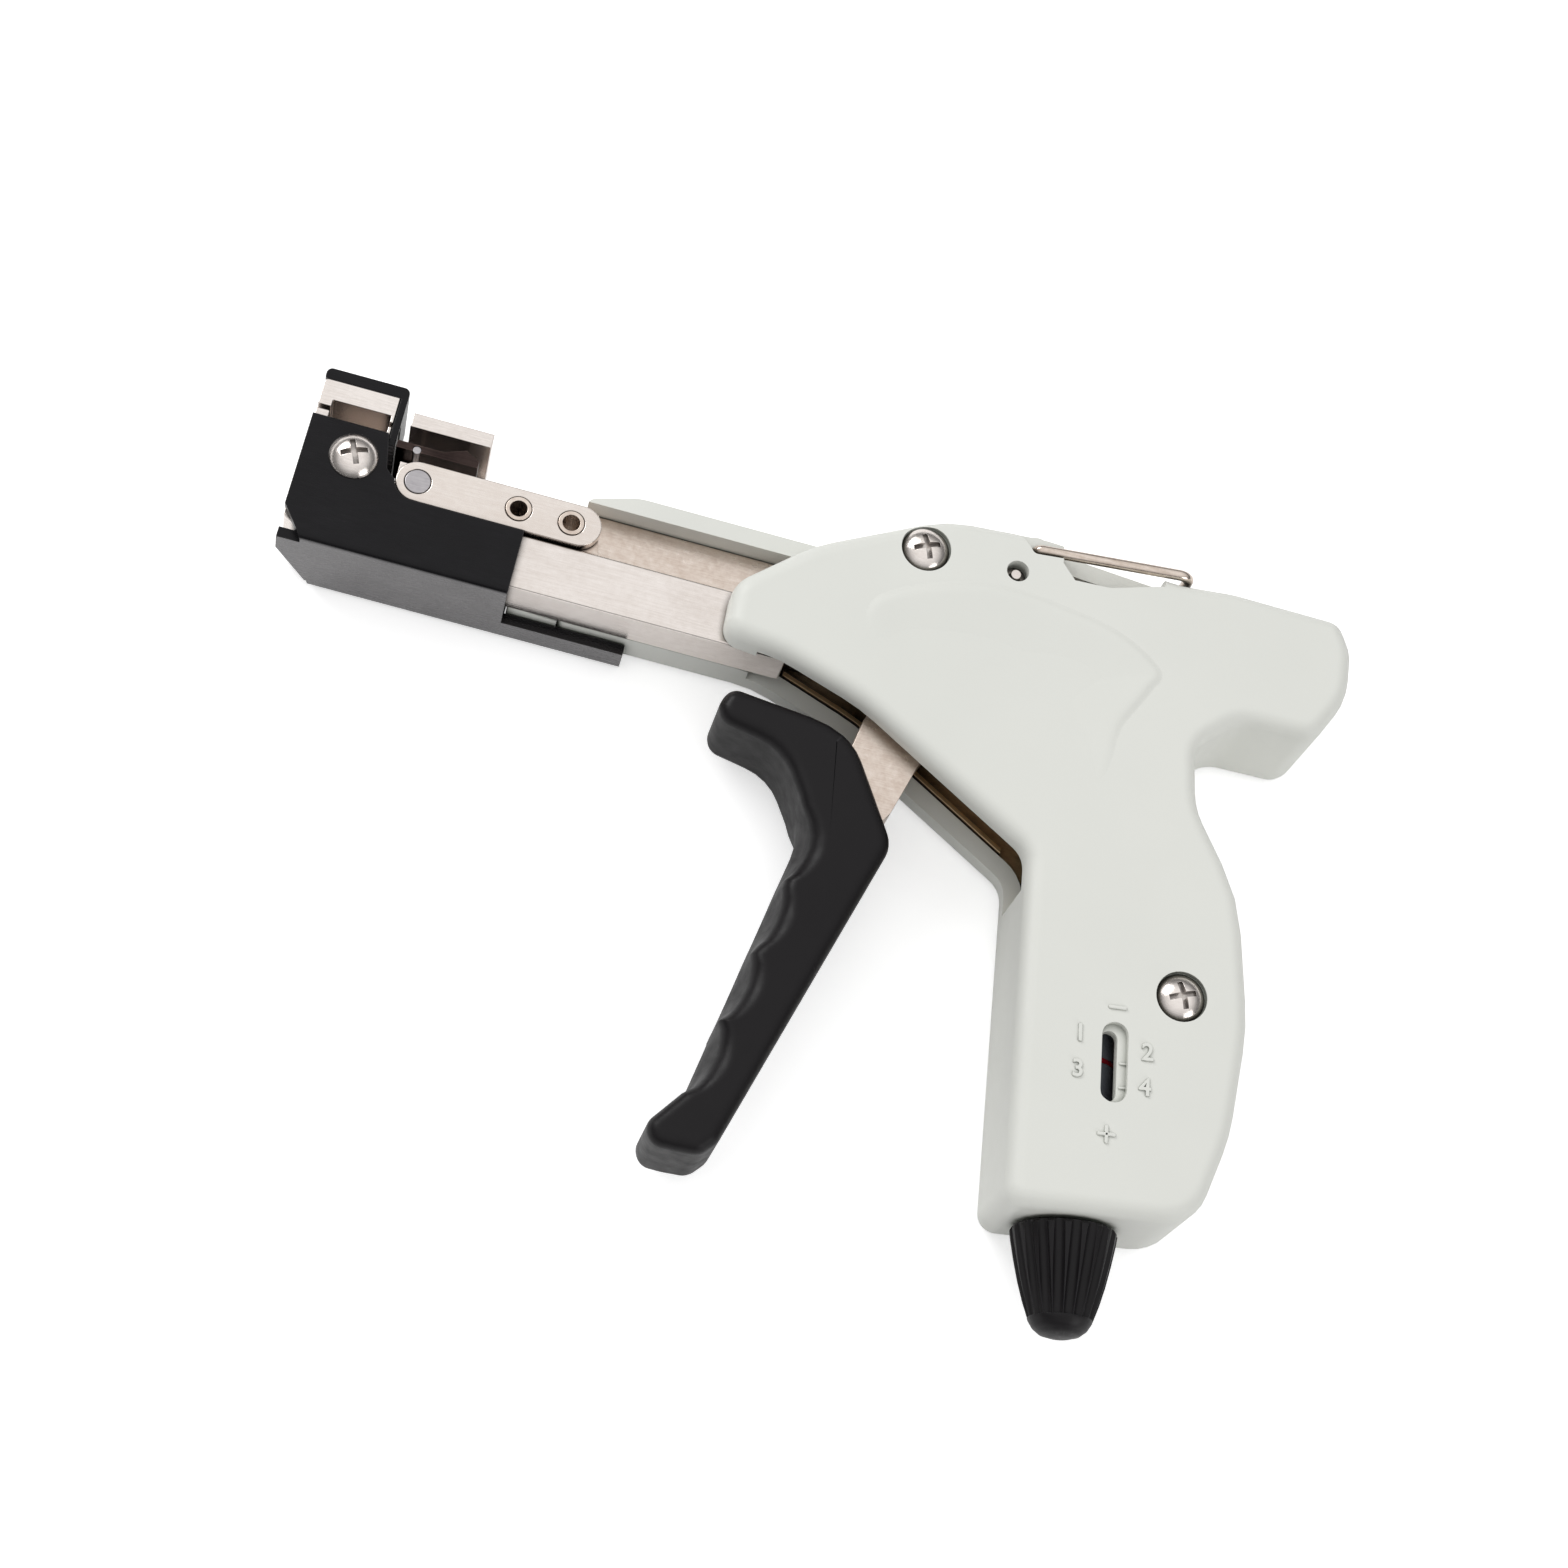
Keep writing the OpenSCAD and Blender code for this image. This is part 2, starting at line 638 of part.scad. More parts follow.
module barrel_frame() {
    x0 = head_rear + fit;
    color([0.87, 0.85, 0.82]) {
        block(x0, -frame_rear, frame_bottom, frame_top, frame_near - frame_t, frame_near);
        block(x0, -frame_rear, frame_bottom, frame_top, frame_far, frame_far + frame_t);
        block(x0, -frame_rear, frame_bottom, frame_bottom + frame_t, frame_far, frame_near);
    }
}

// Cross-section of the nose cover, across the tool, with rounded lower corners
cover_under = frame_bottom - fit - cover_floor_t;
cover_corners = [
    [cover_under, nose_clear, cover_t], [window_floor - 5 * fit, nose_clear, least_r],
    [window_floor - 5 * fit, nose_clear + cover_t, least_r],
    [frame_bottom - fit, nose_clear + cover_t, least_r],
    [frame_bottom - fit, cover_near - cover_t, least_r],
    [window_floor - 5 * fit, cover_near - cover_t, least_r], [window_floor - 5 * fit, cover_near, least_r],
    [cover_under, cover_near, cover_t]
];

module across(x0, x1) {
    translate([x0, 0, 0]) rotate([90, 0, 90]) linear_extrude(x1 - x0) children();
}

module nose_cover() {
    x0 = -nose_reach;
    x1 = x0 + cover_length;
    rest = link_y - link_h / 2 - 2 * fit;
    color([0.20, 0.19, 0.20]) difference() {
        union() {
            across(x0, x1) polygon(outline([for (i = [len(cover_corners) - 1:-1:0]) cover_corners[i]]));
            intersection() {
                across(x1 - cut, x1 + tongue_length)
                    polygon(outline([for (i = [len(cover_corners) - 1:-1:0]) cover_corners[i]]));
                block(x1 - 2 * cut, x1 + tongue_length + cut, cover_under - cut, frame_bottom - fit,
                    nose_clear - cut, nose_clear + tongue_w);
            }
        }
        slab([[head_rear - cut, cut], [head_rear + cover_t, rest + 0.6 * link_h], [jaw_rivet_at.x, rest],
            [x1 + cut, rest], [x1 + cut, cut]], cover_near - cover_t - cut, cover_near + cut);
        post(jaw_rivet_at, link_h / 2 + 2 * fit, cover_near - cover_t - cut, cover_near + cut);
        slab([[jaw_front - cut, link_y], [jaw_rivet_at.x, link_y - link_h / 2 - 2 * fit],
            [jaw_rivet_at.x + link_h, cut], [jaw_front - cut, cut]], cover_near - cover_t - cut, cover_near + cut);
        post(nose_screw_at, nose_screw_r + pin_fit, cover_near - cover_t - cut, cover_near + cut);
        slab([[x0 - cut, cover_under + 5 * cover_t], [x0 - cut, cover_under - cut],
            [x0 + 3.5 * cover_t, cover_under - cut]], cover_near - 1.5 * cover_t, cover_near + cut);
        slab([[x0 - cut, cover_under + 5 * cover_t], [x0 - cut, cover_under - cut],
            [x0 + 5 * cover_t, cover_under - cut]], nose_clear - cut, nose_clear + 1.5 * cover_t);
        translate([0, cover_under + cover_floor_t + fit, 0]) rotate([90, 0, 0])
            linear_extrude(cover_floor_t + fit + cut)
                polygon([[x0 - cut, nose_clear - cut], [x0 + 5 * cover_t, nose_clear - cut],
                    [x0 - cut, cover_near - 3 * cover_t]]);
        for (z = [nose_clear, cover_near])
            slab([[x1 - cover_t, frame_top + 2 * cover_t], [x1 + cut, frame_top + 2 * cover_t],
                [x1 + cut, frame_top - cover_t]], z - cover_t - cut, z + cover_t + cut);
    }
}

module nose_screw() {
    color([0.86, 0.84, 0.80]) pan_screw(nose_screw_at, cover_near + fit, nose_clear + 2 * cover_t, nose_screw_r);
}

module nose_nut() {
    color([0.75, 0.74, 0.70]) hex_nut(nose_screw_at, nose_clear + cover_t + 2 * fit, nose_nut_r, nose_screw_r);
}

head_far = nose_clear + cover_t + fit;
head_near = frame_near;

module front_head() {
    x0 = -nose_reach + fit;
    inner_far = head_far + cover_t;
    color([0.88, 0.86, 0.83]) difference() {
        slab(outline([[x0, frame_bottom + cover_floor_t, cover_t], [x0 + 2 * cover_floor_t, frame_bottom, cover_t],
            [head_rear, frame_bottom, least_r], [head_rear, head_rise, least_r], [x0, head_rise, cover_t / 2]]),
            head_far, head_near);
        block(x0 + window_in, blade_x + blade_t + pin_fit, window_floor, window_top, inner_far, head_near + cut);
        block(x0 - cut, head_rear + cut, slit_y - slit_h / 2, slit_y + slit_h / 2, inner_far, head_near + cut);
        block(blade_x - pin_fit, blade_x + blade_t + pin_fit, cutoff_top - cutoff_h, window_floor + cut, inner_far,
            head_near - cover_t);
        block(blade_x - ramp_room, head_rear + cut, cutoff_top - cutoff_h - 2 * fit, cutoff_top + 2 * fit,
            cutoff_far - 2 * fit, cutoff_far + cutoff_t + 2 * fit);
        post(nose_screw_at, nose_screw_r + pin_fit, head_far - cut, head_near + cut);
        translate([nose_screw_at.x, nose_screw_at.y, head_far - cut]) rotate([0, 0, nut_turn])
            cylinder(h = nut_h + 3 * fit + cut, r = nose_nut_r + fit, $fn = 6);
    }
}

module head_cap() {
    x0 = -nose_reach;
    x1 = head_rear + fit;
    leg_t = 0.6 * cap_t;
    color([0.18, 0.17, 0.18]) difference() {
        slab(outline([[x0, head_rise + fit, cap_t / 4], [x1, head_rise + fit, least_r],
            [x1, window_floor - cap_t, least_r], [x1 + leg_t, window_floor - cap_t, least_r],
            [x1 + leg_t, head_rise + fit + cap_t, cap_t / 2], [x0, head_rise + fit + cap_t, cap_t / 2]]),
            head_far, head_near);
        block(x1 - cut, x1 + leg_t + cut, slit_y - slit_h, slit_y + slit_h, head_far + cover_t,
            head_near - cover_t);
    }
}

module cutter_blade() {
    foot = cutoff_top - blade_lift + fit;
    color([0.62, 0.58, 0.52]) slab([[blade_x, foot], [blade_x + blade_t, foot + blade_t],
        [blade_x + blade_t, window_floor + 4 * fit], [blade_x, window_floor + 6 * fit]],
        head_far + cover_t + fit, head_near - cover_t - fit);
}

module cutoff_bar() {
    ramp_top = blade_x + blade_lift;
    color([0.66, 0.64, 0.60]) difference() {
        slab([[ramp_top - cutoff_h, cutoff_top - cutoff_h], [cutoff_pin_at.x + cutoff_h, cutoff_top - cutoff_h],
            [cutoff_pin_at.x + cutoff_h, cutoff_top], [ramp_top, cutoff_top]], cutoff_far, cutoff_far + cutoff_t);
        strap(cutoff_pin_at - [0, 2 * fit], cutoff_pin_at + [0, 2 * fit], pin_r + open_fit / 2, cutoff_far - cut,
            cutoff_far + cutoff_t + cut);
    }
}

hollow_at = [jaw_rivet_at + [hollow_in, 0], jaw_rivet_at + [hollow_in + hollow_pitch, 0]];

module pull_bar() {
    x0 = jaw_front + jaw_length + bar_gap;
    x1 = bar_pin_at.x + 2 * pin_r;
    head_x = hollow_at[1].x + 2.6 * hollow_pin_r;
    color([0.80, 0.71, 0.60]) difference() {
        union() {
            block(x0, x1, bar_bottom, bar_top, bar_far, bar_near);
            slab([[x0, bar_bottom], [head_x, bar_bottom], [head_x - pin_r, link_y + link_h / 2],
                [x0, link_y + link_h / 2]], bar_near, link_block_near);
        }
        for (p = hollow_at) post(p, hollow_pin_r + pin_fit, bar_far - cut, link_near);
        post(bar_pin_at, pin_r + pin_fit, bar_far - cut, bar_near + cut);
    }
}

module link_plate(z0, z1) {
    difference() {
        strap(jaw_rivet_at, jaw_rivet_at + [link_length - 4 * fit, 0], link_h / 2, z0, z1);
        for (p = hollow_at) post(p, hollow_pin_r + pin_fit, z0 - cut, z1 + cut);
        post(jaw_rivet_at, hollow_pin_r + pin_fit, z0 - cut, z1 + cut);
    }
}

module link_plate_left() {
    color([0.89, 0.86, 0.83]) link_plate(link_near - link_t, link_near);
}

module link_plate_right() {
    color([0.89, 0.86, 0.83]) link_plate(far_link_far, far_link_near);
}

module hollow_pins() {
    color([0.82, 0.76, 0.70]) for (p = hollow_at) difference() {
        post(p, hollow_pin_r, far_link_far, link_near + fit);
        post(p, hollow_bore_r, far_link_far - cut, link_near + cut);
    }
}

module jaw_rivet() {
    color([0.74, 0.72, 0.72]) post(jaw_rivet_at, hollow_pin_r, far_link_far, link_near);
}

pawl_y = -4.0;
pawl_t = 1.3;
jaw_top = 1.9;
jaw_plate_t = 2.5;
spine_near = head_far + spine_t;
pawl_pin_r = 0.7;
pawl_pin_at = [jaw_front + pawl_pin_in, pawl_y - pawl_t / 5];

module gripper_jaw() {
    x1 = jaw_front + jaw_length;
    lower_top = link_y + link_h / 2 + fit;
    shelf = pawl_y - shelf_drop;
    color([0.88, 0.86, 0.83]) difference() {
        union() {
            block(jaw_front, x1, jaw_top - jaw_plate_t, jaw_top, head_far, head_near);
            block(jaw_front, x1, shelf - cut, jaw_top - jaw_plate_t, head_far, spine_near);
            block(jaw_front, x1, link_y + link_h / 2 + 3 * fit, shelf, head_far, 2 * spine_near + shelf_lead);
            block(jaw_front, x1, bar_bottom, lower_top, bar_far, link_block_near);
            block(jaw_front, x1, link_y, shelf, bar_far, 2 * spine_near + shelf_lead);
        }
        post(jaw_rivet_at, hollow_pin_r + pin_fit, bar_far - cut, link_near);
        post(pawl_pin_at, pawl_pin_r + pin_fit, head_far - cut, spine_near + cut);
    }
}

module gripper_pawl() {
    x1 = jaw_front + jaw_length - pawl_in;
    color([0.30, 0.27, 0.26]) difference() {
        slab([[jaw_front - pawl_t, pawl_y - pawl_t / 2], [x1, pawl_y - pawl_t / 2], [x1, pawl_y + pawl_t / 2],
            [x1 - 0.18 * jaw_length, pawl_y + 1.5 * pawl_t], [x1 - 0.45 * jaw_length, pawl_y + pawl_t / 2],
            [jaw_front - pawl_t, pawl_y + pawl_t / 2]],
            spine_near + fit, head_near - 4 * fit);
        post(pawl_pin_at, pawl_pin_r + pin_fit / 2, spine_near, head_near);
    }
}

module pawl_pin() {
    color([0.74, 0.72, 0.72]) post(pawl_pin_at, pawl_pin_r, head_far, head_near - 5 * fit);
}

module drive_link() {
    color([0.70, 0.68, 0.64]) difference() {
        arm(bar_pin_at, lever_pin_at, 2.2 * pin_r, drive_far, drive_far + drive_t);
        post(bar_pin_at, pin_r + pin_fit, drive_far - cut, drive_far + drive_t + cut);
        post(lever_pin_at, pin_r + open_fit, drive_far - cut, drive_far + drive_t + cut);
    }
}

module bar_pin() {
    color([0.74, 0.72, 0.72]) post(bar_pin_at, pin_r, bar_far, drive_far + drive_t + 3 * fit);
}

// Corners of the trigger grip, as shares of shell_length and trigger_drop, with a radius share
grip_shares = [
    [-0.324, -0.9985, 0.040], [-0.284, -0.996, 0.028], [-0.262, -0.972, 0.040], [-0.101, -0.471, 0.045],
    [-0.188, -0.332, 0.100], [-0.235, -0.308, 0.150], [-0.400, -0.292, 0.024], [-0.418, -0.345, 0.028],
    [-0.300, -0.366, 0.090], [-0.236, -0.464, 0.110], [-0.323, -0.905, 0.050], [-0.372, -0.968, 0.024],
    [-0.362, -0.998, 0.026]
];
grip_corners = [for (s = grip_shares) [s[0] * shell_length, s[1] * trigger_drop, s[2] * shell_length]];
// The grip's front edge, from its top to its foot, as shares like the corners', and its finger hollows
grip_front_shares = [[-0.240, -0.455], [-0.325, -0.910]];
grip_front = [for (s = grip_front_shares) [s[0] * shell_length, s[1] * trigger_drop]];
hollow_count = 4;
hollow_depth = 0.17 * grip_w;
front_steps = 32;

// How far a point of the grip's outline moves back for the finger hollows, off the grip's middle
function hollow(p, off) =
    let (
        d = unit(grip_front[1] - grip_front[0]),
        span = norm(grip_front[1] - grip_front[0]),
        t = ([p.x, p.y] - grip_front[0]) * d / span,
        near = abs(turn(d, [p.x, p.y] - grip_front[0])) < grip_edge_r + hollow_reach ? 1 : 0
    )
    t < 0 || t > 1 ? 0 : near * hollow_depth * pow(abs(sin(180 * hollow_count * t)), 0.7) * off;

// Long edges of an outline, divided so that they can be bent
function divided(pts, longest, parts) = let (n = len(pts)) [
    for (i = [0:n - 1])
        let (a = pts[i], b = pts[(i + 1) % n])
        each norm(b - a) > longest && b.y < a.y ? [for (k = [0:parts - 1]) a + (b - a) * k / parts] : [a]
];

module grip_block(z0, z1) {
    mid = (z0 + z1) / 2;
    half = (z1 - z0) / 2;
    d = unit(grip_front[1] - grip_front[0]);
    back = [-d.y, d.x];
    edge = ring_levels(z0, z1, grip_edge_r, grip_edge_r);
    levels = concat(
        [for (i = [0:edge_steps]) edge[i]],
        [for (s = [-0.5, -0.25, -0.08, 0.08, 0.25, 0.5]) [0, mid + s * half]],
        [for (i = [edge_steps + 1:2 * edge_steps + 1]) edge[i]]
    );
    longest = 0.3 * norm(grip_front[1] - grip_front[0]);
    base = divided(outline(grip_corners), longest, front_steps);
    n = len(base);
    m = len(levels);
    rings = [for (l = levels)
        let (pts = divided(outline(inset(grip_corners, l[0])), longest, front_steps))
        [for (i = [0:n - 1])
            let (
                off = min(1, max(0, abs(l[1] - mid) / half - 0.06)),
                p = pts[i] + back * hollow(base[i], off)
            )
            [p.x, p.y, l[1]]]];
    polyhedron(
        points = [for (r = rings) each r],
        faces = concat(
            [for (t = filled([for (p = rings[0]) [p.x, p.y]], [for (i = [0:n - 1]) i])) t],
            [for (j = [0:m - 2]) for (i = [0:n - 1])
                let (a = j * n + i, b = j * n + (i + 1) % n) each [[a, a + n, b + n], [a, b + n, b]]],
            [for (t = filled([for (p = rings[m - 1]) [p.x, p.y]], [for (i = [0:n - 1]) i]))
                [for (i = [2, 1, 0]) (m - 1) * n + t[i]]]
        )
    );
}

module lever_blank(z0, z1) {
    slab([for (s = lever_shares) placed(s)], z0, z1);
}

module trigger_grip() {
    grip_far = body_mid - grip_w / 2;
    color([0.17, 0.16, 0.17]) difference() {
        grip_block(grip_far, grip_far + grip_w);
        slab([for (s = lever_shares) placed(s)], lever_far - pin_fit, lever_near + pin_fit);
    }
}

module trigger_lever() {
    root = [for (i = [1:6]) placed(lever_shares[i])];
    color([0.85, 0.79, 0.74]) difference() {
        union() {
            for (z = [lever_far, lever_near - lever_t]) {
                lever_blank(z, z + lever_t);
                post([0, 0], lever_head_r, z, z + lever_t);
            }
            slab([root[0], root[1], root[2], root[3], root[4]], lever_far, lever_near);
        }
        post([0, 0], trigger_pin_r + pin_fit, lever_far - cut, lever_near + cut);
        post(lever_pin_at, pin_r + pin_fit, lever_far - cut, lever_near + cut);
    }
}

module lever_pin() {
    color([0.74, 0.72, 0.72]) post(lever_pin_at, pin_r, lever_far, lever_near);
}

module trigger_pin() {
    color([0.85, 0.84, 0.82]) {
        post([0, 0], trigger_pin_r, shell_wall, inside_near);
        post([0, 0], trigger_pin_r * 0.36, inside_near - cut, body_t - nib_drop);
    }
}

module trigger_spring() {
    wire_r = 0.45;
    coil_r = pivot_boss_r + wire_r + slide_fit;
    z0 = shell_wall + plate_t + fit + 2 * wire_r;
    z1 = lever_far - 3 * wire_r;
    turns = coil(coil_r, z0, z1, 2.5, 16);
    leg = leg_share * shell_height;
    color([0.70, 0.70, 0.70]) wire(concat([turns[0] - [0, leg, 0]], turns, [turns[len(turns) - 1] - [0, leg, 0]]),
        wire_r, 6);
}

module rocker() {
    z0 = body_mid - rocker_t / 2;
    z1 = body_mid + rocker_t / 2;
    color([0.66, 0.64, 0.60]) difference() {
        union() {
            arm(rocker_at, rod_pin_at, 2 * pin_r, z0, z1);
            post(cutoff_pin_at, 2 * pin_r, z0, z1);
            shank(rocker_at, cutoff_pin_at, 2.6 * pin_r, z0, z1);
        }
        post(rocker_at, pin_r + pin_fit, z0 - cut, z1 + cut);
        post(rod_pin_at, pin_r + open_fit / 2, z0 - cut, z1 + cut);
        post(cutoff_pin_at, pin_r + pin_fit, z0 - cut, z1 + cut);
    }
}

module rocker_pin() {
    color([0.74, 0.72, 0.72]) post(rocker_at, pin_r, shell_wall, inside_near);
}

module cutoff_pin() {
    color([0.74, 0.72, 0.72]) post(cutoff_pin_at, pin_r, cutoff_far, body_mid + rocker_t / 2);
}

fork_r = 1.7 * rod_r;
fork_foot = rod_pin_up - 3.2 * pin_r - fork_floor;

module tension_rod() {
    slot = rocker_t + 4 * fit;
    color([0.72, 0.71, 0.68]) difference() {
        on_handle_axis() difference() {
            union() {
                translate([0, 0, rod_foot]) cylinder(h = fork_foot + cut - rod_foot, r = rod_r);
                translate([0, 0, fork_foot]) cylinder(h = rod_pin_up + 2 * pin_r - fork_foot, r = fork_r);
            }
            translate([-2 * fork_r, -slot / 2, rod_pin_up - 2.6 * pin_r])
                cube([4 * fork_r, slot, 6 * pin_r]);
        }
        post(rod_pin_at, pin_r + pin_fit, 0, body_t);
    }
}

module rod_pin() {
    color([0.74, 0.72, 0.72]) post(rod_pin_at, pin_r, body_mid - 0.9 * fork_r, body_mid + 0.9 * fork_r);
}

sleeve_bore_r = sleeve_r - sleeve_wall;

module tube_on_axis(r, bore, foot, h) {
    on_handle_axis() translate([0, 0, foot]) difference() {
        cylinder(h = h, r = r);
        translate([0, 0, -cut]) cylinder(h = h + 2 * cut, r = bore);
    }
}

module spring_cap() {
    color([0.72, 0.71, 0.68]) tube_on_axis(sleeve_bore_r - 2 * fit, rod_r + pin_fit, cap_foot, rod_cap_t);
}

module rod_guide() {
    color([0.80, 0.68, 0.42]) tube_on_axis(sleeve_r + 4 * fit, rod_r + pin_fit, guide_foot, guide_t);
}

module tension_spring() {
    mean_r = (sleeve_bore_r + stem_r) / 2 + slide_fit;
    color([0.60, 0.60, 0.60]) on_handle_axis()
        wire(coil(mean_r, spring_foot + spring_wire_r, cap_foot - fit - spring_wire_r, spring_turns, 14),
            spring_wire_r, 6);
}

module indicator_sleeve() {
    color([0.45, 0.47, 0.50]) on_handle_axis() translate([0, 0, sleeve_foot]) difference() {
        cylinder(h = sleeve_length, r = sleeve_r);
        translate([0, 0, nut_wall]) cylinder(h = sleeve_length, r = sleeve_bore_r);
        translate([0, 0, -cut]) cylinder(h = nut_wall + 2 * cut, r = stem_r + pin_fit);
        translate([0, 0, ring_at - sleeve_foot - ring_w / 2]) difference() {
            cylinder(h = ring_w, r = sleeve_r + cut);
            translate([0, 0, -cut]) cylinder(h = ring_w + 2 * cut, r = sleeve_r - ring_t);
        }
    }
}

module indicator_ring() {
    color([0.62, 0.10, 0.12]) tube_on_axis(sleeve_r, sleeve_r - ring_t, ring_at - ring_w / 2, ring_w);
}

module knob_bush() {
    color([0.80, 0.68, 0.42]) {
        tube_on_axis(stem_r + bush_wall, stem_r + pin_fit, 0, bush_top);
        tube_on_axis(sleeve_r, stem_r + bush_wall - fit, shell_wall + fit, bush_top - shell_wall - fit);
    }
}

module stem_clip() {
    color([0.30, 0.30, 0.30]) tube_on_axis(stem_r + clip_wall, stem_r, bush_top + fit, clip_top - bush_top - 2 * fit);
}

module knob_stem() {
    color([0.72, 0.71, 0.68]) on_handle_axis() translate([0, 0, -knob_length / 2])
        cylinder(h = stem_top + knob_length / 2, r = stem_r);
}

// Half of the knob's section, from its tip up, as shares of knob_r and knob_length
knob_shares = [[0, -1], [0.20, -0.993], [0.38, -0.965], [0.50, -0.915], [0.58, -0.85], [0.70, -0.68],
    [0.80, -0.50], [0.89, -0.30], [0.96, -0.12], [0.985, -0.03], [0.95, 0], [0, 0]];

module tension_knob() {
    gap = 0.6;
    color([0.16, 0.16, 0.17]) on_handle_axis() translate([0, 0, -gap]) difference() {
        rotate_extrude() polygon([for (s = knob_shares) [s[0] * knob_r, s[1] * knob_length]]);
        for (i = [0:knob_grooves - 1]) rotate([0, 0, 360 * i / knob_grooves])
            translate([1.054 * knob_r, 0, 0]) rotate([0, 13.5, 0]) translate([0, 0, -0.86 * knob_length])
                cylinder(h = knob_length, r = 0.11 * knob_r, $fn = 24);
        translate([0, 0, -knob_length / 2 + gap]) cylinder(h = knob_length, r = stem_r);
    }
}

module bail() {
    p = placed(bail_share);
    leg = bail_leg;
    far = bail_r + pin_fit;
    near = body_t - far;
    depth = shell_wall + bail_r;
    bend_in = 1.05 * bail_r;
    bend = 2.2 * bail_r;
    d = unit(leg);
    along = [d.x, d.y, 0];
    out = [p.x, p.y, 0];
    tip = [p.x + leg.x, p.y + leg.y, 0];
    turns = [for (a = [15:15:75]) [1 - cos(a), 1 - sin(a)]];
    path = concat(
        [out + [0, 0, far + depth], out + [0, 0, far + bend_in]],
        [for (k = turns) out + bend_in * k.x * along + [0, 0, far + bend_in * k.y]],
        [out + bend_in * along + [0, 0, far], tip - bend * along + [0, 0, far]],
        [for (i = [4:-1:0]) tip - bend * turns[i].x * along + [0, 0, far + bend * turns[i].y]],
        [tip + [0, 0, far + bend], tip + [0, 0, near - bend]],
        [for (k = turns) tip - bend * k.x * along + [0, 0, near - bend * k.y]],
        [tip - bend * along + [0, 0, near], out + bend_in * along + [0, 0, near]],
        [for (i = [4:-1:0]) out + bend_in * turns[i].x * along + [0, 0, near - bend_in * turns[i].y]],
        [out + [0, 0, near - bend_in], out + [0, 0, near - depth]]
    );
    color([0.80, 0.74, 0.66]) wire(path, bail_r, 16, [-d.y, d.x, 0]);
}

right_shell();
left_shell();
body_screws();
body_nuts();
inner_plate_right();
inner_plate_left();
barrel_frame();
nose_cover();
nose_screw();
nose_nut();
front_head();
head_cap();
cutter_blade();
cutoff_bar();
pull_bar();
link_plate_left();
link_plate_right();
hollow_pins();
jaw_rivet();
gripper_jaw();
gripper_pawl();
pawl_pin();
drive_link();
bar_pin();
trigger_grip();
trigger_lever();
lever_pin();
trigger_pin();
trigger_spring();
rocker();
rocker_pin();
cutoff_pin();
tension_rod();
rod_pin();
spring_cap();
rod_guide();
tension_spring();
indicator_sleeve();
indicator_ring();
knob_bush();
stem_clip();
knob_stem();
tension_knob();
bail();
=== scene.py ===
import json
import math

import bmesh
import bpy
from mathutils import Matrix, Vector


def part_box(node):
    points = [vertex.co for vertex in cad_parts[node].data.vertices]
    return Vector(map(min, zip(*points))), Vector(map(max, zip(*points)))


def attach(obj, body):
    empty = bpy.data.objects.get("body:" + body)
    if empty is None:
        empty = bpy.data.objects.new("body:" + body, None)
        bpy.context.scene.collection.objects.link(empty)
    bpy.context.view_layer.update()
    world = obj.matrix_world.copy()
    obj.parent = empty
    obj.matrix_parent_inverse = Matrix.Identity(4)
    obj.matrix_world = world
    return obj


MM = 0.001

# Heights over the floor in mm: the left shell's face, the step round the dial's slot,
# and the turned-in edge of the right inner plate
SHELL_FACE = 22.0
SLOT_STEP = 20.8
FLANGE_TOP = 6.2

# The photograph's camera: its place in metres, its right and its aim, its lens in mm
CAMERA_AT = (-0.0685, -0.2348, 0.460)
CAMERA_RIGHT = (0.9633, 0.2047, 0.1737)
CAMERA_AIM = (0.0817, 0.3929, -0.9159)
LENS_MM = 70.69
SENSOR_MM = 36.0

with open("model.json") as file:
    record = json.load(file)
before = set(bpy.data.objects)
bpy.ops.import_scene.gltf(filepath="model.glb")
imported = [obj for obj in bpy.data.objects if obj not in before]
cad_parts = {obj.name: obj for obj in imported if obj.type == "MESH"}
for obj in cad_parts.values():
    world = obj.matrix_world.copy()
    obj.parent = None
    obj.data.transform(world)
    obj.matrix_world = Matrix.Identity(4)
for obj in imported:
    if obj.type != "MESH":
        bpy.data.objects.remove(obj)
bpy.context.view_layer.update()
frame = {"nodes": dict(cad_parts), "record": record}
nodes = frame["nodes"]

scene = bpy.context.scene
scene.view_settings.view_transform = "Standard"


def camera():
    data = bpy.data.cameras.new("camera")
    data.lens = LENS_MM
    data.sensor_width = SENSOR_MM
    data.sensor_fit = "HORIZONTAL"
    data.clip_start = 0.01
    data.clip_end = 20.0
    cam = bpy.data.objects.new("camera", data)
    scene.collection.objects.link(cam)
    right = Vector(CAMERA_RIGHT).normalized()
    back = -Vector(CAMERA_AIM).normalized()
    up = back.cross(right).normalized()
    right = up.cross(back).normalized()
    pose = Matrix((right, up, back)).transposed().to_4x4()
    pose.translation = Vector(CAMERA_AT)
    cam.matrix_world = pose
    scene.camera = cam


# Materials: colours are linear, noise scales are per metre, and a fine bump's height is in metres
FINE_BUMP = 0.0002
AO_SAMPLES = 8
# The colour sockets of a mix node, which share their names with those for other kinds of data
MIX_A, MIX_B, MIX_RESULT = 6, 7, 2


def set_stops(ramp, stops):
    """Give a colour ramp its (position, colour) stops."""
    elements = ramp.color_ramp.elements
    while len(elements) < len(stops):
        elements.new(0.5)
    for element, (position, colour) in zip(elements, stops):
        element.position = position
        element.color = (*colour, 1.0)


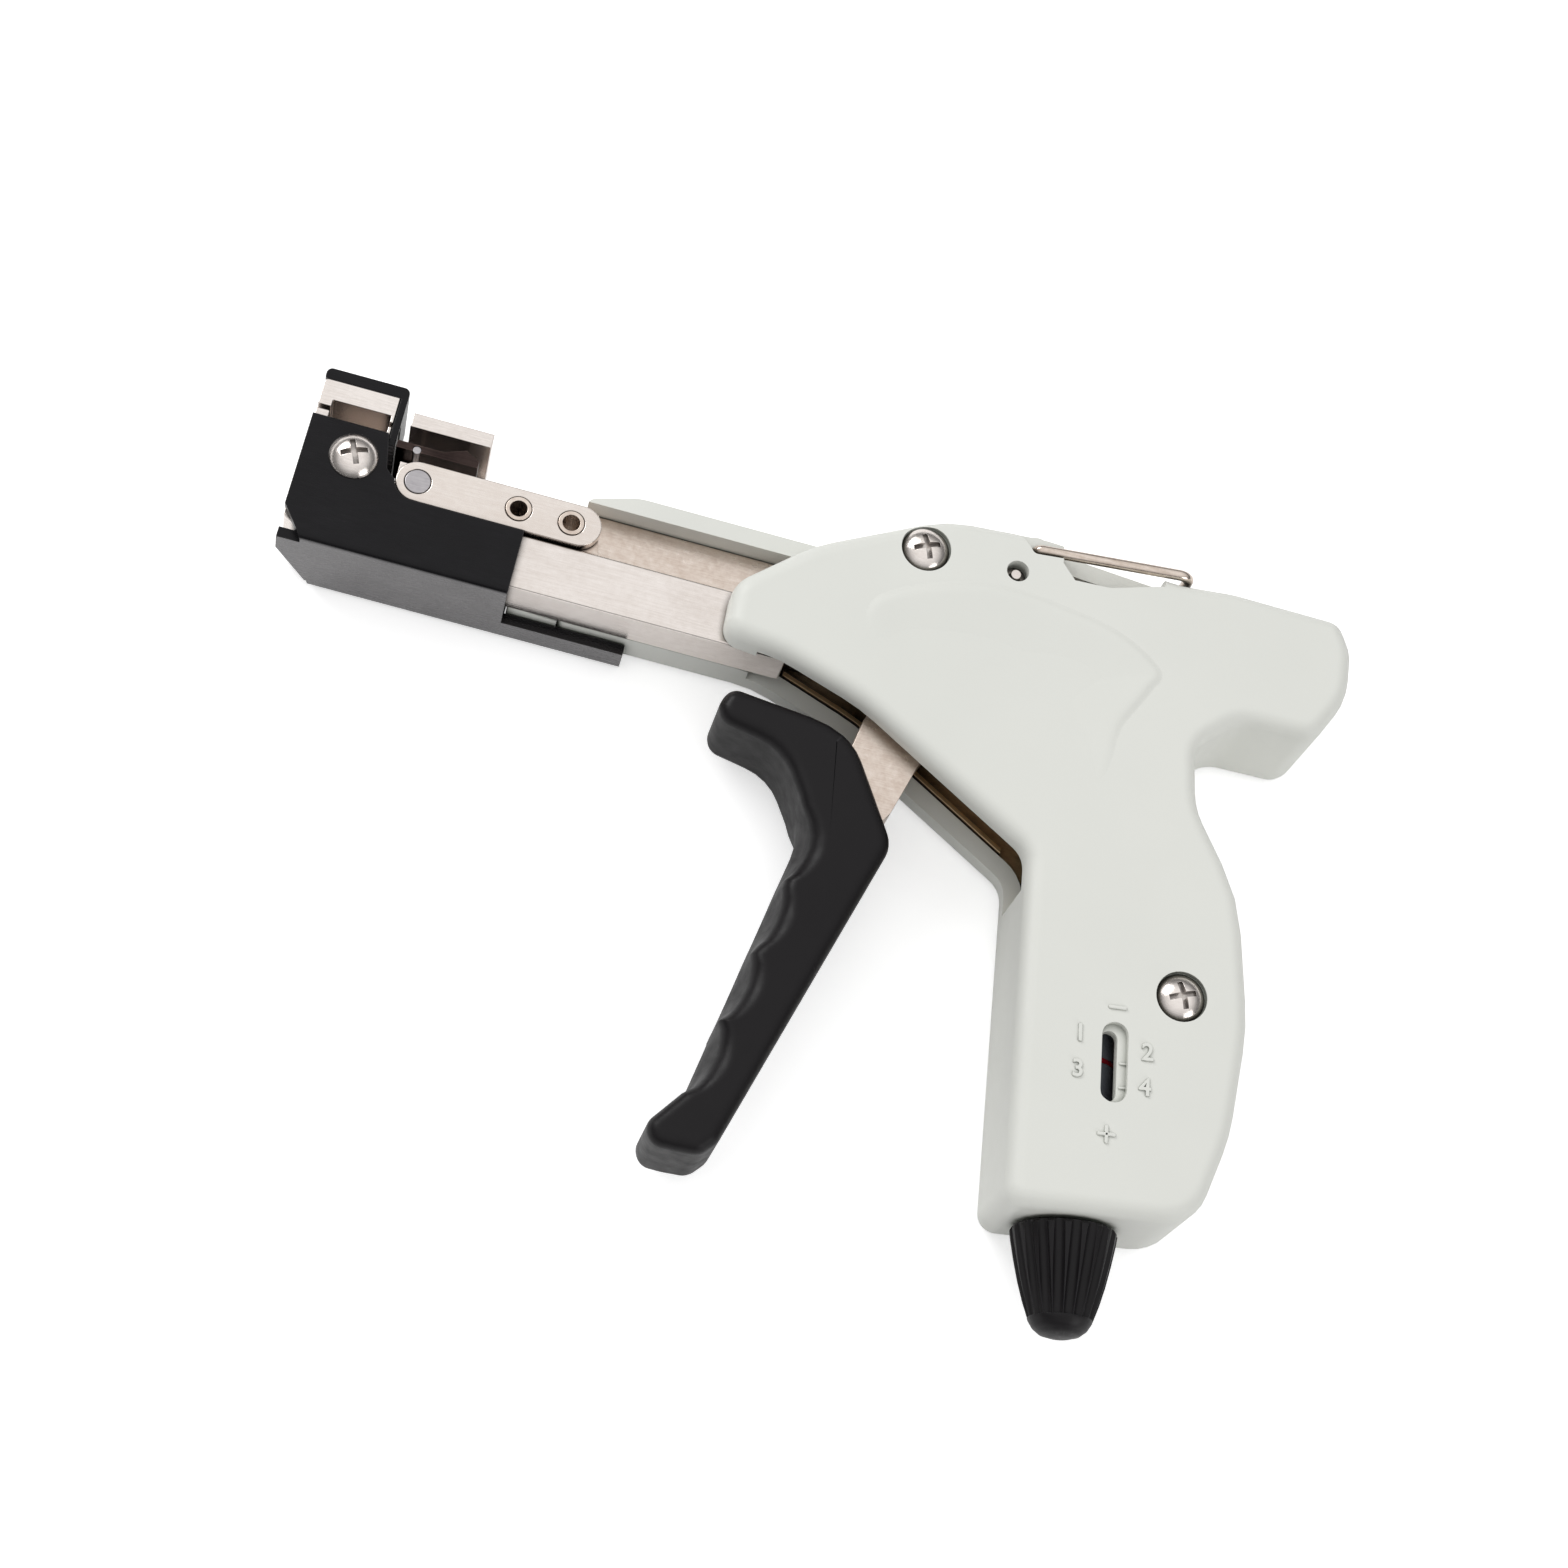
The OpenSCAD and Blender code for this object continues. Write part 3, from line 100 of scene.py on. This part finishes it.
class Tree:
    """One material and the nodes that feed its shader."""

    def __init__(self, name):
        self.mat = bpy.data.materials.new(name)
        self.mat.use_nodes = True
        self.nodes = self.mat.node_tree.nodes
        self.bsdf = next(n for n in self.nodes if n.type == "BSDF_PRINCIPLED")
        self.coord = self.nodes.new("ShaderNodeTexCoord")

    def link(self, a, b):
        self.mat.node_tree.links.new(a, b)

    def mapped(self, scale):
        n = self.nodes.new("ShaderNodeMapping")
        n.inputs["Scale"].default_value = scale
        self.link(self.coord.outputs["Object"], n.inputs["Vector"])
        return n.outputs["Vector"]

    def noise(self, scale, detail=3.0, rough=0.55, vector=None):
        n = self.nodes.new("ShaderNodeTexNoise")
        n.inputs["Scale"].default_value = scale
        n.inputs["Detail"].default_value = detail
        n.inputs["Roughness"].default_value = rough
        self.link(vector or self.coord.outputs["Object"], n.inputs["Vector"])
        return n.outputs["Fac"]

    def ramp(self, value, stops):
        n = self.nodes.new("ShaderNodeValToRGB")
        set_stops(n, stops)
        self.link(value, n.inputs["Fac"])
        return n.outputs["Color"]

    def span(self, value, low, high, out_low, out_high):
        n = self.nodes.new("ShaderNodeMapRange")
        n.inputs["From Min"].default_value = low
        n.inputs["From Max"].default_value = high
        n.inputs["To Min"].default_value = out_low
        n.inputs["To Max"].default_value = out_high
        self.link(value, n.inputs["Value"])
        return n.outputs["Result"]

    def mix(self, fac, a, b):
        """Blend from a to b; each may be a socket or a plain value."""
        n = self.nodes.new("ShaderNodeMix")
        n.data_type = "RGBA"
        if isinstance(fac, float):
            n.inputs["Factor"].default_value = fac
        else:
            self.link(fac, n.inputs["Factor"])
        for key, v in ((MIX_A, a), (MIX_B, b)):
            if isinstance(v, tuple):
                n.inputs[key].default_value = (*v, 1.0)
            else:
                self.link(v, n.inputs[key])
        return n.outputs[MIX_RESULT]

    def bump(self, *layers):
        """Stack (height, strength, distance) layers into the shader's normal."""
        normal = None
        for height, strength, distance in layers:
            n = self.nodes.new("ShaderNodeBump")
            n.inputs["Strength"].default_value = strength
            n.inputs["Distance"].default_value = distance
            self.link(height, n.inputs["Height"])
            if normal is not None:
                self.link(normal, n.inputs["Normal"])
            normal = n.outputs["Normal"]
        self.link(normal, self.bsdf.inputs["Normal"])

    def occluded(self, colour, other, distance, low, high, inside=False):
        """Blend to another colour where nearby faces close a point in.

        inside looks into the solid instead, where two faces close in on the edge between them.
        """
        n = self.nodes.new("ShaderNodeAmbientOcclusion")
        n.samples = AO_SAMPLES
        n.inside = inside
        n.inputs["Distance"].default_value = distance
        return self.mix(self.span(n.outputs["AO"], low, high, 1.0, 0.0), colour, other)

    def paint_crevice_shade(self, colour, shade, distance, low=0.35, high=0.95):
        """Darken a colour with painted shade in recesses and at inner corners."""
        return self.occluded(colour, shade, distance, low, high)

    def edges(self, colour, worn):
        """Lighten a colour along outer edges, where handling wears it."""
        return self.occluded(colour, worn, distance=0.35 * MM, low=0.35, high=0.75, inside=True)

    def axis(self, kind, name):
        """One axis of the object's own coordinates ("Object") or of its faces ("Normal")."""
        n = self.nodes.new("ShaderNodeSeparateXYZ")
        self.link(self.coord.outputs[kind], n.inputs[0])
        return n.outputs[name]

    def set(self, **values):
        for k, v in values.items():
            self.bsdf.inputs[k.replace("_", " ")].default_value = v


def plastic(name, base, dark, rough, grain, spec=0.5, rim=None, shade=None):
    """Moulded plastic: faint clouds of tone over a fine grain, with painted shade in recesses when
    a shade colour is given.
    """
    t = Tree(name)
    colour = t.ramp(t.noise(28.0, 3.0), [(0.3, dark), (0.7, base)])
    if rim:
        colour = t.edges(colour, rim)
    # Painted shade: recesses and inner corners darken towards the shade colour
    if shade:
        colour = t.paint_crevice_shade(colour, shade, 2.0 * MM, low=0.20, high=0.80)
    t.link(colour, t.bsdf.inputs["Base Color"])
    fine = t.noise(2600.0, 2.0, 0.6)
    mid = t.noise(420.0, 2.0, 0.5)
    t.link(t.span(mid, 0.3, 0.7, *rough), t.bsdf.inputs["Roughness"])
    t.bump((fine, grain, FINE_BUMP), (mid, grain * 0.6, 2 * FINE_BUMP))
    t.set(Specular_IOR_Level=spec)
    return t.mat


def metal(name, light, dark, rough, streak=16.0, scratch=0.06, mottle=0.25, wear=None,
          shade=None, depth=1.2, rim_at=None):
    """Plated or bare steel: cloudy tone, mottling, long polishing streaks, painted shade in the
    corners.

    depth is how deep the painted shade reaches in mm; at the height rim_at, in mm, a thin band
    keeps the colour without painted shade.
    """
    t = Tree(name)
    cloud = t.noise(70.0, 4.0, 0.6)
    speck = t.noise(900.0, 4.0, 0.65)
    long = t.noise(220.0, 3.0, 0.6, t.mapped((1.0, streak, streak)))
    tone = t.mix(mottle, t.mix(0.45, cloud, long), speck)
    unshaded = t.ramp(tone, [(0.36, dark), (0.60, light)])
    if wear:
        unshaded = t.edges(unshaded, wear)
    # Painted shade: recesses and inner corners darken towards the shade colour, by default a
    # quarter of the dark tone
    colour = t.paint_crevice_shade(unshaded, shade or tuple(c * 0.25 for c in dark), depth * MM)
    # The band at rim_at is left without the painted shade
    if rim_at:
        height = t.span(t.axis("Object", "Z"), (rim_at - 0.5) * MM, (rim_at + 0.5) * MM, 0.0, 1.0)
        black, white = (0.0, 0.0, 0.0), (1.0, 1.0, 1.0)
        band = t.ramp(height, [(0.30, black), (0.40, white), (0.80, black)])
        colour = t.mix(band, colour, unshaded)
    t.link(colour, t.bsdf.inputs["Base Color"])
    t.link(t.span(tone, 0.35, 0.65, rough[1], rough[0]), t.bsdf.inputs["Roughness"])
    t.bump((long, scratch, FINE_BUMP), (speck, scratch * 0.5, FINE_BUMP))
    t.set(Metallic=1.0)
    return t.mat


def oxide(name):
    """Blackened sheet: near black, and glossier on the faces that point to -Y, which get a paler
    colour as a painted reflection of the floor.
    """
    t = Tree(name)
    cloud = t.noise(120.0, 4.0, 0.65)
    scuff = t.noise(300.0, 4.0, 0.7, t.mapped((1.0, 5.0, 5.0)))
    tone = t.mix(0.4, cloud, scuff)
    top = t.ramp(tone, [(0.35, (0.0025, 0.002, 0.003)), (0.62, (0.005, 0.0045, 0.006)),
                        (0.72, (0.018, 0.016, 0.018))])
    # Painted reflection: faces that point to -Y take this paler grey in place of the floor's
    # reflection
    painted_floor_reflection = t.ramp(tone, [(0.35, (0.115, 0.109, 0.113)), (0.65, (0.165, 0.158, 0.163))])

    def by_facing(down, other):
        return t.span(t.axis("Normal", "Y"), -0.98, -0.85, down, other)

    colour = t.edges(t.mix(by_facing(1.0, 0.0), top, painted_floor_reflection), (0.045, 0.042, 0.042))
    t.link(colour, t.bsdf.inputs["Base Color"])
    t.link(t.span(scuff, 0.3, 0.7, 0.20, 0.34), t.bsdf.inputs["Roughness"])
    t.bump((t.noise(1500.0, 2.0), 0.04, FINE_BUMP), (cloud, 0.08, 3 * FINE_BUMP))
    t.link(by_facing(0.95, 0.22), t.bsdf.inputs["Specular IOR Level"])
    return t.mat


# In these tables, shade is the colour of the painted shade in recesses and inner corners, and depth
# is how far it reaches in mm
PLASTICS = {
    "shell_plastic": dict(base=(0.795, 0.802, 0.755), dark=(0.765, 0.774, 0.728),
                          rough=(0.40, 0.52), grain=0.08, spec=0.4, shade=(0.20, 0.215, 0.185)),
    "black_plastic": dict(base=(0.0095, 0.0085, 0.0095), dark=(0.007, 0.006, 0.007),
                          rough=(0.34, 0.46), grain=0.10, spec=0.22, rim=(0.020, 0.019, 0.021)),
    "sleeve_grey": dict(base=(0.16, 0.17, 0.19), dark=(0.13, 0.14, 0.16), rough=(0.30, 0.42),
                        grain=0.08),
    "ring_red": dict(base=(0.30, 0.012, 0.020), dark=(0.24, 0.010, 0.016), rough=(0.35, 0.45),
                     grain=0.06),
}
METALS = {
    "nickel": dict(light=(0.93, 0.868, 0.825), dark=(0.79, 0.72, 0.67), rough=(0.17, 0.28)),
    "link_nickel": dict(light=(0.88, 0.81, 0.755), dark=(0.77, 0.685, 0.625), rough=(0.20, 0.32)),
    "bar_steel": dict(light=(0.84, 0.74, 0.66), dark=(0.62, 0.50, 0.42), rough=(0.24, 0.38),
                      scratch=0.10, mottle=0.4, depth=0.6),
    "zinc": dict(light=(0.55, 0.53, 0.54), dark=(0.38, 0.36, 0.38), rough=(0.26, 0.40)),
    # Yellow zinc: near-black painted shade reaching 9 mm in, with a band at the flange's top left
    # without it
    "yellow_zinc": dict(light=(0.98, 0.74, 0.47), dark=(0.78, 0.56, 0.34), rough=(0.34, 0.48),
                        shade=(0.004, 0.003, 0.002), depth=9.0, rim_at=FLANGE_TOP),
    "tool_steel": dict(light=(0.060, 0.042, 0.038), dark=(0.026, 0.018, 0.017),
                       rough=(0.28, 0.44), wear=(0.16, 0.12, 0.11)),
    "brass": dict(light=(0.78, 0.58, 0.28), dark=(0.62, 0.44, 0.20), rough=(0.18, 0.32)),
    "spring_steel": dict(light=(0.46, 0.46, 0.47), dark=(0.30, 0.30, 0.31), rough=(0.24, 0.36)),
    "bail_wire": dict(light=(0.86, 0.76, 0.68), dark=(0.60, 0.49, 0.41), rough=(0.12, 0.22),
                      streak=10.0),
}
MATERIALS = {name: plastic(name, **look) for name, look in PLASTICS.items()}
MATERIALS.update((name, metal(name, **look)) for name, look in METALS.items())
MATERIALS["black_oxide"] = oxide("black_oxide")


# The CAD nodes keep their shapes; their edges are eased and their curves shaded smooth
BEVEL_MM = {
    "right_shell": 0.22, "left_shell": 0.22, "trigger_grip": 0.5, "nose_cover": 0.28,
    "head_cap": 0.35, "front_head": 0.20, "gripper_jaw": 0.22, "barrel_frame": 0.45,
    "pull_bar": 0.30, "link_plate_left": 0.22, "link_plate_right": 0.22, "trigger_lever": 0.25,
    "jaw_rivet": 0.18, "inner_plate_right": 0.15, "inner_plate_left": 0.15, "body_screws": 0.10,
    "nose_screw": 0.10, "trigger_pin": 0.2,
}
BEVEL_ANGLE = {
    "right_shell": 40.0, "left_shell": 40.0, "trigger_grip": 42.0, "tension_knob": 38.0,
}
OTHER_BEVEL_MM = 0.12
OTHER_BEVEL_ANGLE = 30.0
NOT_BEVELLED = {"bail", "tension_spring", "trigger_spring"}
WELD_GAP = 2e-6
FLAT_ANGLE = 0.4


def smooth(obj):
    """Shade smooth without the imported normals, and join the faces at their seams."""
    mesh = obj.data
    if "custom_normal" in mesh.attributes:
        mesh.attributes.remove(mesh.attributes["custom_normal"])
    mesh.polygons.foreach_set("use_smooth", [True] * len(mesh.polygons))
    weld = obj.modifiers.new("weld", "WELD")
    weld.merge_threshold = WELD_GAP


def bevel(obj, width, angle):
    """Round the edges over a merged flat surface, and keep the flat faces' shading flat."""
    flat = obj.modifiers.new("flat", "DECIMATE")
    flat.decimate_type = "DISSOLVE"
    flat.angle_limit = math.radians(FLAT_ANGLE)
    edge = obj.modifiers.new("bevel", "BEVEL")
    edge.width = width * MM
    edge.segments = 3
    edge.limit_method = "ANGLE"
    edge.angle_limit = math.radians(angle)
    edge.use_clamp_overlap = True
    edge.miter_outer = "MITER_ARC"
    edge.face_strength_mode = "FSTR_ALL"
    normals = obj.modifiers.new("normals", "WEIGHTED_NORMAL")
    normals.mode = "FACE_AREA"
    normals.keep_sharp = True
    normals.use_face_influence = True


def dress(obj, slot):
    obj.data.materials.clear()
    obj.data.materials.append(MATERIALS[slot])


def finish_cad_nodes():
    slots = {s["node"]: s["material_slot"] for s in frame["record"]["subparts"]}
    for name, obj in nodes.items():
        dress(obj, slots[name])
        smooth(obj)
        if name not in NOT_BEVELLED:
            bevel(obj, BEVEL_MM.get(name, OTHER_BEVEL_MM),
                  BEVEL_ANGLE.get(name, OTHER_BEVEL_ANGLE))


# The pieces made here all belong to the shells, so they take the shells' body and plastic
def mesh_of(name, bm):
    mesh = bpy.data.meshes.new(name)
    bm.to_mesh(mesh)
    bm.free()
    return mesh


def add_piece(name, mesh):
    obj = bpy.data.objects.new(name, mesh)
    scene.collection.objects.link(obj)
    dress(obj, "shell_plastic")
    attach(obj, "body")
    return obj


def add_smooth_piece(name, bm):
    mesh = mesh_of(name, bm)
    mesh.polygons.foreach_set("use_smooth", [True] * len(mesh.polygons))
    return add_piece(name, mesh)


def bridge(bm, rows, closed):
    """Join each row of vertices to the next by faces; closed rows are rings."""
    for a, b in zip(rows, rows[1:]):
        for k in range(len(a) if closed else len(a) - 1):
            after = (k + 1) % len(a)
            bm.faces.new((a[k], a[after], b[after], b[k]))


# The soft step that outlines the middle of the left shell, in mm: its path, and its section
# as (distance inwards from the path, height over the shell's face)
RIDGE_PATH = [
    (-19.0, -21.5), (-19.3, -19.4), (-20.9, -16.8), (-21.9, -14.3), (-20.4, -11.2), (-14.8, -7.9),
    (-7.4, -5.1), (-2.5, -4.2), (2.7, -4.2), (7.3, -4.7), (10.9, -5.2), (15.0, -5.9),
    (18.6, -7.0), (21.7, -8.5), (24.3, -10.3), (25.5, -11.8), (24.4, -14.0), (23.1, -16.8),
    (21.6, -19.7), (20.6, -22.1), (20.2, -24.9), (20.2, -27.9), (19.7, -31.7), (19.1, -34.8),
    (18.4, -37.5),
]
RIDGE_SECTION = [
    (-1.5, -0.06), (-1.0, 0.00), (-0.6, 0.10), (-0.2, 0.28), (0.2, 0.40), (0.7, 0.45),
    (1.5, 0.42), (3.0, 0.31), (5.0, 0.18), (7.5, 0.07), (10.0, -0.02), (11.0, -0.08),
]
RIDGE_STEPS = 5
RIDGE_CENTRE = Vector((2.0, -20.0))
# Rows nearer to the path than this are square to it; the others run straight to the centre,
# so they don't cross inside the path's bends
RIDGE_SQUARE = 1.0
# The section narrows to this share and sinks into the shell over these lengths at the path's
# start and end; its feet, lower than RIDGE_FOOT, stay sunk all along
RIDGE_NARROW = 0.25
RIDGE_FADE_IN = 14.0
RIDGE_FADE_OUT = 22.0
RIDGE_SINK = 0.08
RIDGE_FOOT = -0.05


def ease_curve(t):
    """A smooth step from 0 to 1."""
    return t * t * (3 - 2 * t)


def catmull(points, steps):
    """A smooth line through the points, with so many steps from each to the next."""
    out = []
    p = [points[0]] + points + [points[-1]]
    for i in range(1, len(p) - 2):
        a, b, c, d = (Vector(p[i + k]) for k in (-1, 0, 1, 2))
        for s in range(steps):
            t = s / steps
            out.append(0.5 * ((2 * b) + (c - a) * t + (2 * a - 5 * b + 4 * c - d) * t * t
                              + (3 * b - a - 3 * c + d) * t * t * t))
    out.append(Vector(points[-1]))
    return out


def panel_ridge():
    line = catmull(RIDGE_PATH, RIDGE_STEPS)
    last = len(line) - 1
    total = sum((line[i + 1] - line[i]).length for i in range(last))
    run = 0.0
    bm = bmesh.new()
    rows = []
    for i, p in enumerate(line):
        if i:
            run += (line[i] - line[i - 1]).length
        along = (line[min(i + 1, last)] - line[max(i - 1, 0)]).normalized()
        square = Vector((along.y, -along.x))
        inward = (RIDGE_CENTRE - p).normalized()
        fade = ease_curve(min(1.0, run / RIDGE_FADE_IN, (total - run) / RIDGE_FADE_OUT))
        spread = RIDGE_NARROW + (1.0 - RIDGE_NARROW) * fade
        row = []
        for off, height in RIDGE_SECTION:
            if off < RIDGE_SQUARE:
                q = p + square * off
            else:
                q = p + inward * (RIDGE_SQUARE + (off - RIDGE_SQUARE) * spread)
            lift = fade if height > RIDGE_FOOT else 0.0
            z = SHELL_FACE - RIDGE_SINK + (height + RIDGE_SINK) * lift
            row.append(bm.verts.new((q.x * MM, q.y * MM, z * MM)))
        rows.append(row)
    bridge(bm, rows, closed=False)
    bmesh.ops.recalc_face_normals(bm, faces=bm.faces)
    if sum(f.normal.z for f in bm.faces) < 0:
        bmesh.ops.reverse_faces(bm, faces=bm.faces)
    add_smooth_piece("panel_ridge", bm)


# The dial's numerals, marks and ticks: centres and sizes in mm
DIAL_TILT = math.radians(7.70)
NUMERALS = {
    "dial_one": ("1", (23.5, -74.4)),
    "dial_three": ("3", (24.1, -80.1)),
    "dial_two": ("2", (34.4, -74.8)),
    "dial_four": ("4", (34.9, -80.4)),
}
NUMERAL_SIZE = 3.9
NUMERAL_DEPTH = 0.22
NUMERAL_ROUND = 0.10
MINUS_AT = (28.6, -68.8)
PLUS_AT = (30.2, -89.1)
MARK_LENGTH, MARK_WIDTH, MARK_HEIGHT = 3.0, 0.62, 0.34
TICKS_AT = ((31.25, -77.1), (31.75, -80.9))
TICK_LENGTH, TICK_WIDTH, TICK_HEIGHT = 1.5, 0.42, 0.28
BAR_POINTS = 16


def numeral(name, digit, at):
    curve = bpy.data.curves.new(name, "FONT")
    curve.body = digit
    curve.size = NUMERAL_SIZE * MM
    curve.align_x = "CENTER"
    curve.align_y = "CENTER"
    curve.extrude = NUMERAL_DEPTH * MM
    curve.bevel_depth = NUMERAL_ROUND * MM
    curve.bevel_resolution = 2
    curve.resolution_u = 6
    text = bpy.data.objects.new(name, curve)
    scene.collection.objects.link(text)
    place = Matrix.Translation((at[0] * MM, at[1] * MM, SHELL_FACE * MM))
    text.matrix_world = place @ Matrix.Rotation(DIAL_TILT, 4, "Z")
    bpy.context.view_layer.update()
    depsgraph = bpy.context.evaluated_depsgraph_get()
    mesh = bpy.data.meshes.new_from_object(text.evaluated_get(depsgraph))
    mesh.transform(text.matrix_world)
    bpy.data.objects.remove(text)
    add_piece(name, mesh)


def raised_bars(name, bars, length, width, base, height):
    """Small raised strokes with eased ends, each given by its centre and angle."""
    r = width / 2
    ring = []
    for k in range(BAR_POINTS):
        a = 2 * math.pi * k / BAR_POINTS
        # A cosine that should be 0 may come out just below it
        end = 1 if math.cos(a) >= -1e-9 else -1
        ring.append((end * (length / 2 - r) + r * math.cos(a), r * math.sin(a)))
    # Each level's share of the stroke's half width, and its height over the base
    levels = [(1.0, -0.1), (1.0, height * 0.55), (0.82, height * 0.9), (0.5, height)]
    bm = bmesh.new()
    for (x, y), angle in bars:
        c, s = math.cos(angle), math.sin(angle)
        rows = []
        for share, h in levels:
            row = []
            for px, py in ring:
                qx = px - (1 - share) * r * (1 if px > 0 else -1)
                qy = py * share
                row.append(bm.verts.new(((x + qx * c - qy * s) * MM, (y + qx * s + qy * c) * MM,
                                         (base + h) * MM)))
            rows.append(row)
        bridge(bm, rows, closed=True)
        bm.faces.new(rows[-1])
    bmesh.ops.recalc_face_normals(bm, faces=bm.faces)
    add_smooth_piece(name, bm)


def dial():
    for name, (digit, at) in NUMERALS.items():
        numeral(name, digit, at)
    marks = [(MINUS_AT, DIAL_TILT), (PLUS_AT, DIAL_TILT), (PLUS_AT, DIAL_TILT + math.pi / 2)]
    raised_bars("dial_marks", marks, MARK_LENGTH, MARK_WIDTH, SHELL_FACE, MARK_HEIGHT)
    ticks = [(at, DIAL_TILT) for at in TICKS_AT]
    raised_bars("dial_ticks", ticks, TICK_LENGTH, TICK_WIDTH, SLOT_STEP, TICK_HEIGHT)


# The trough's lower lip, which runs on under the barrel as far as the nose cover, in mm
LIP_LENGTH = 8.3
LIP_WIDTH = 3.0
LIP_GAP = 0.2
LIP_JOINT = 0.02
LIP_OUTER_ROUND = 0.9
LIP_ROUND = 0.3
ROUND_STEPS = 6
# How far the section draws in, at each distance from the lip's free end
LIP_END = ((0.0, 0.30), (0.1, 0.10), (0.3, 0.0))


def lip_section(y0, y1, z0, z1):
    """The lip's outline with its four corners rounded, each from its own starting angle."""
    outer, inner = LIP_OUTER_ROUND * MM, LIP_ROUND * MM
    corners = (
        (y0 + outer, z0 + outer, 180, outer), (y1 - inner, z0 + inner, 270, inner),
        (y1 - inner, z1 - inner, 0, inner), (y0 + inner, z1 - inner, 90, inner),
    )
    section = []
    for y, z, start, r in corners:
        for k in range(ROUND_STEPS + 1):
            a = math.radians(start + 90 * k / ROUND_STEPS)
            section.append((y + r * math.cos(a), z + r * math.sin(a)))
    return section


def trough_lip():
    (shell_x, _, shell_z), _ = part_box("right_shell")
    (_, barrel_y, barrel_z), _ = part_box("barrel_frame")
    x0, x1 = shell_x - LIP_LENGTH * MM, shell_x - LIP_JOINT * MM
    y0, y1 = barrel_y + LIP_GAP * MM, barrel_y + (LIP_GAP + LIP_WIDTH) * MM
    z0, z1 = shell_z, barrel_z - LIP_GAP * MM
    section = lip_section(y0, y1, z0, z1)
    middle_y, middle_z = (y0 + y1) / 2, (z0 + z1) / 2
    bm = bmesh.new()
    rings = []
    for x, draw in [(x0 + at * MM, draw * MM) for at, draw in LIP_END] + [(x1, 0.0)]:
        rings.append([bm.verts.new((x, y - math.copysign(draw, y - middle_y),
                                    z - math.copysign(draw, z - middle_z))) for y, z in section])
    bridge(bm, rings, closed=True)
    bm.faces.new(rings[0])
    bm.faces.new(list(reversed(rings[-1])))
    bmesh.ops.recalc_face_normals(bm, faces=bm.faces)
    lip = add_smooth_piece("trough_lip", bm)
    normals = lip.modifiers.new("normals", "WEIGHTED_NORMAL")
    normals.weight = 90


# Light: the sky's grey from straight below to straight above, and two soft lamps, each with
# its place, the point it faces, its width and height in metres and its power in watts
SKY = ((0.0, 0.10), (0.30, 0.24), (0.58, 0.74), (0.82, 0.98), (1.0, 1.0))
SKY_STRENGTH = 0.93
LAMPS = {
    "key": ((-0.90, 0.60, 0.70), (-0.02, -0.04, 0.0), 0.80, 0.60, 6.6),
    "fill": ((0.90, -0.75, 0.38), (0.0, -0.04, 0.0), 0.60, 0.40, 2.2),
}


def sky():
    world = bpy.data.worlds.new("world")
    scene.world = world
    world.use_nodes = True
    tree = world.node_tree
    background = next(n for n in tree.nodes if n.type == "BACKGROUND")
    coord = tree.nodes.new("ShaderNodeTexCoord")
    split = tree.nodes.new("ShaderNodeSeparateXYZ")
    ramp = tree.nodes.new("ShaderNodeValToRGB")
    tree.links.new(coord.outputs["Generated"], split.inputs[0])
    tree.links.new(split.outputs["Z"], ramp.inputs["Fac"])
    set_stops(ramp, [(position, (grey, grey, grey)) for position, grey in SKY])
    tree.links.new(ramp.outputs["Color"], background.inputs["Color"])
    background.inputs["Strength"].default_value = SKY_STRENGTH


def lamps():
    for name, (at, aim, width, height, power) in LAMPS.items():
        data = bpy.data.lights.new(name, "AREA")
        data.shape = "RECTANGLE"
        data.size = width
        data.size_y = height
        data.energy = power
        obj = bpy.data.objects.new(name, data)
        scene.collection.objects.link(obj)
        obj.location = at
        obj.rotation_euler = (Vector(aim) - Vector(at)).to_track_quat("-Z", "Y").to_euler()


# The floor lies just under the tool. It glows towards the camera, so that it shows white, and
# less in reflections; no other ray sees the glow
FLOOR_HALF = 3.0
FLOOR_Z = -0.00005
FLOOR_GLOW = 0.50
MIRRORED_GLOW = FLOOR_GLOW / 5


def floor():
    bm = bmesh.new()
    r = FLOOR_HALF
    corners = ((-r, -r), (r, -r), (r, r), (-r, r))
    bm.faces.new([bm.verts.new((x, y, FLOOR_Z)) for x, y in corners])
    mesh = mesh_of("floor", bm)
    obj = bpy.data.objects.new("floor", mesh)
    scene.collection.objects.link(obj)
    t = Tree("floor")
    t.link(t.ramp(t.noise(2.0), [(0.3, (0.93, 0.93, 0.93)), (0.7, (0.95, 0.95, 0.95))]),
           t.bsdf.inputs["Base Color"])
    path = t.nodes.new("ShaderNodeLightPath")
    glow = t.nodes.new("ShaderNodeMath")
    glow.operation = "MAXIMUM"
    for k, (ray, strength) in enumerate((("Is Camera Ray", FLOOR_GLOW),
                                         ("Is Glossy Ray", MIRRORED_GLOW))):
        t.link(t.span(path.outputs[ray], 0.0, 1.0, 0.0, strength), glow.inputs[k])
    t.link(glow.outputs[0], t.bsdf.inputs["Emission Strength"])
    t.set(Roughness=0.9, Specular_IOR_Level=0.0, Emission_Color=(1.0, 1.0, 1.0, 1.0))
    mesh.materials.append(t.mat)


camera()
floor()
sky()
lamps()
finish_cad_nodes()
panel_ridge()
dial()
trough_lip()

bpy.context.view_layer.update()
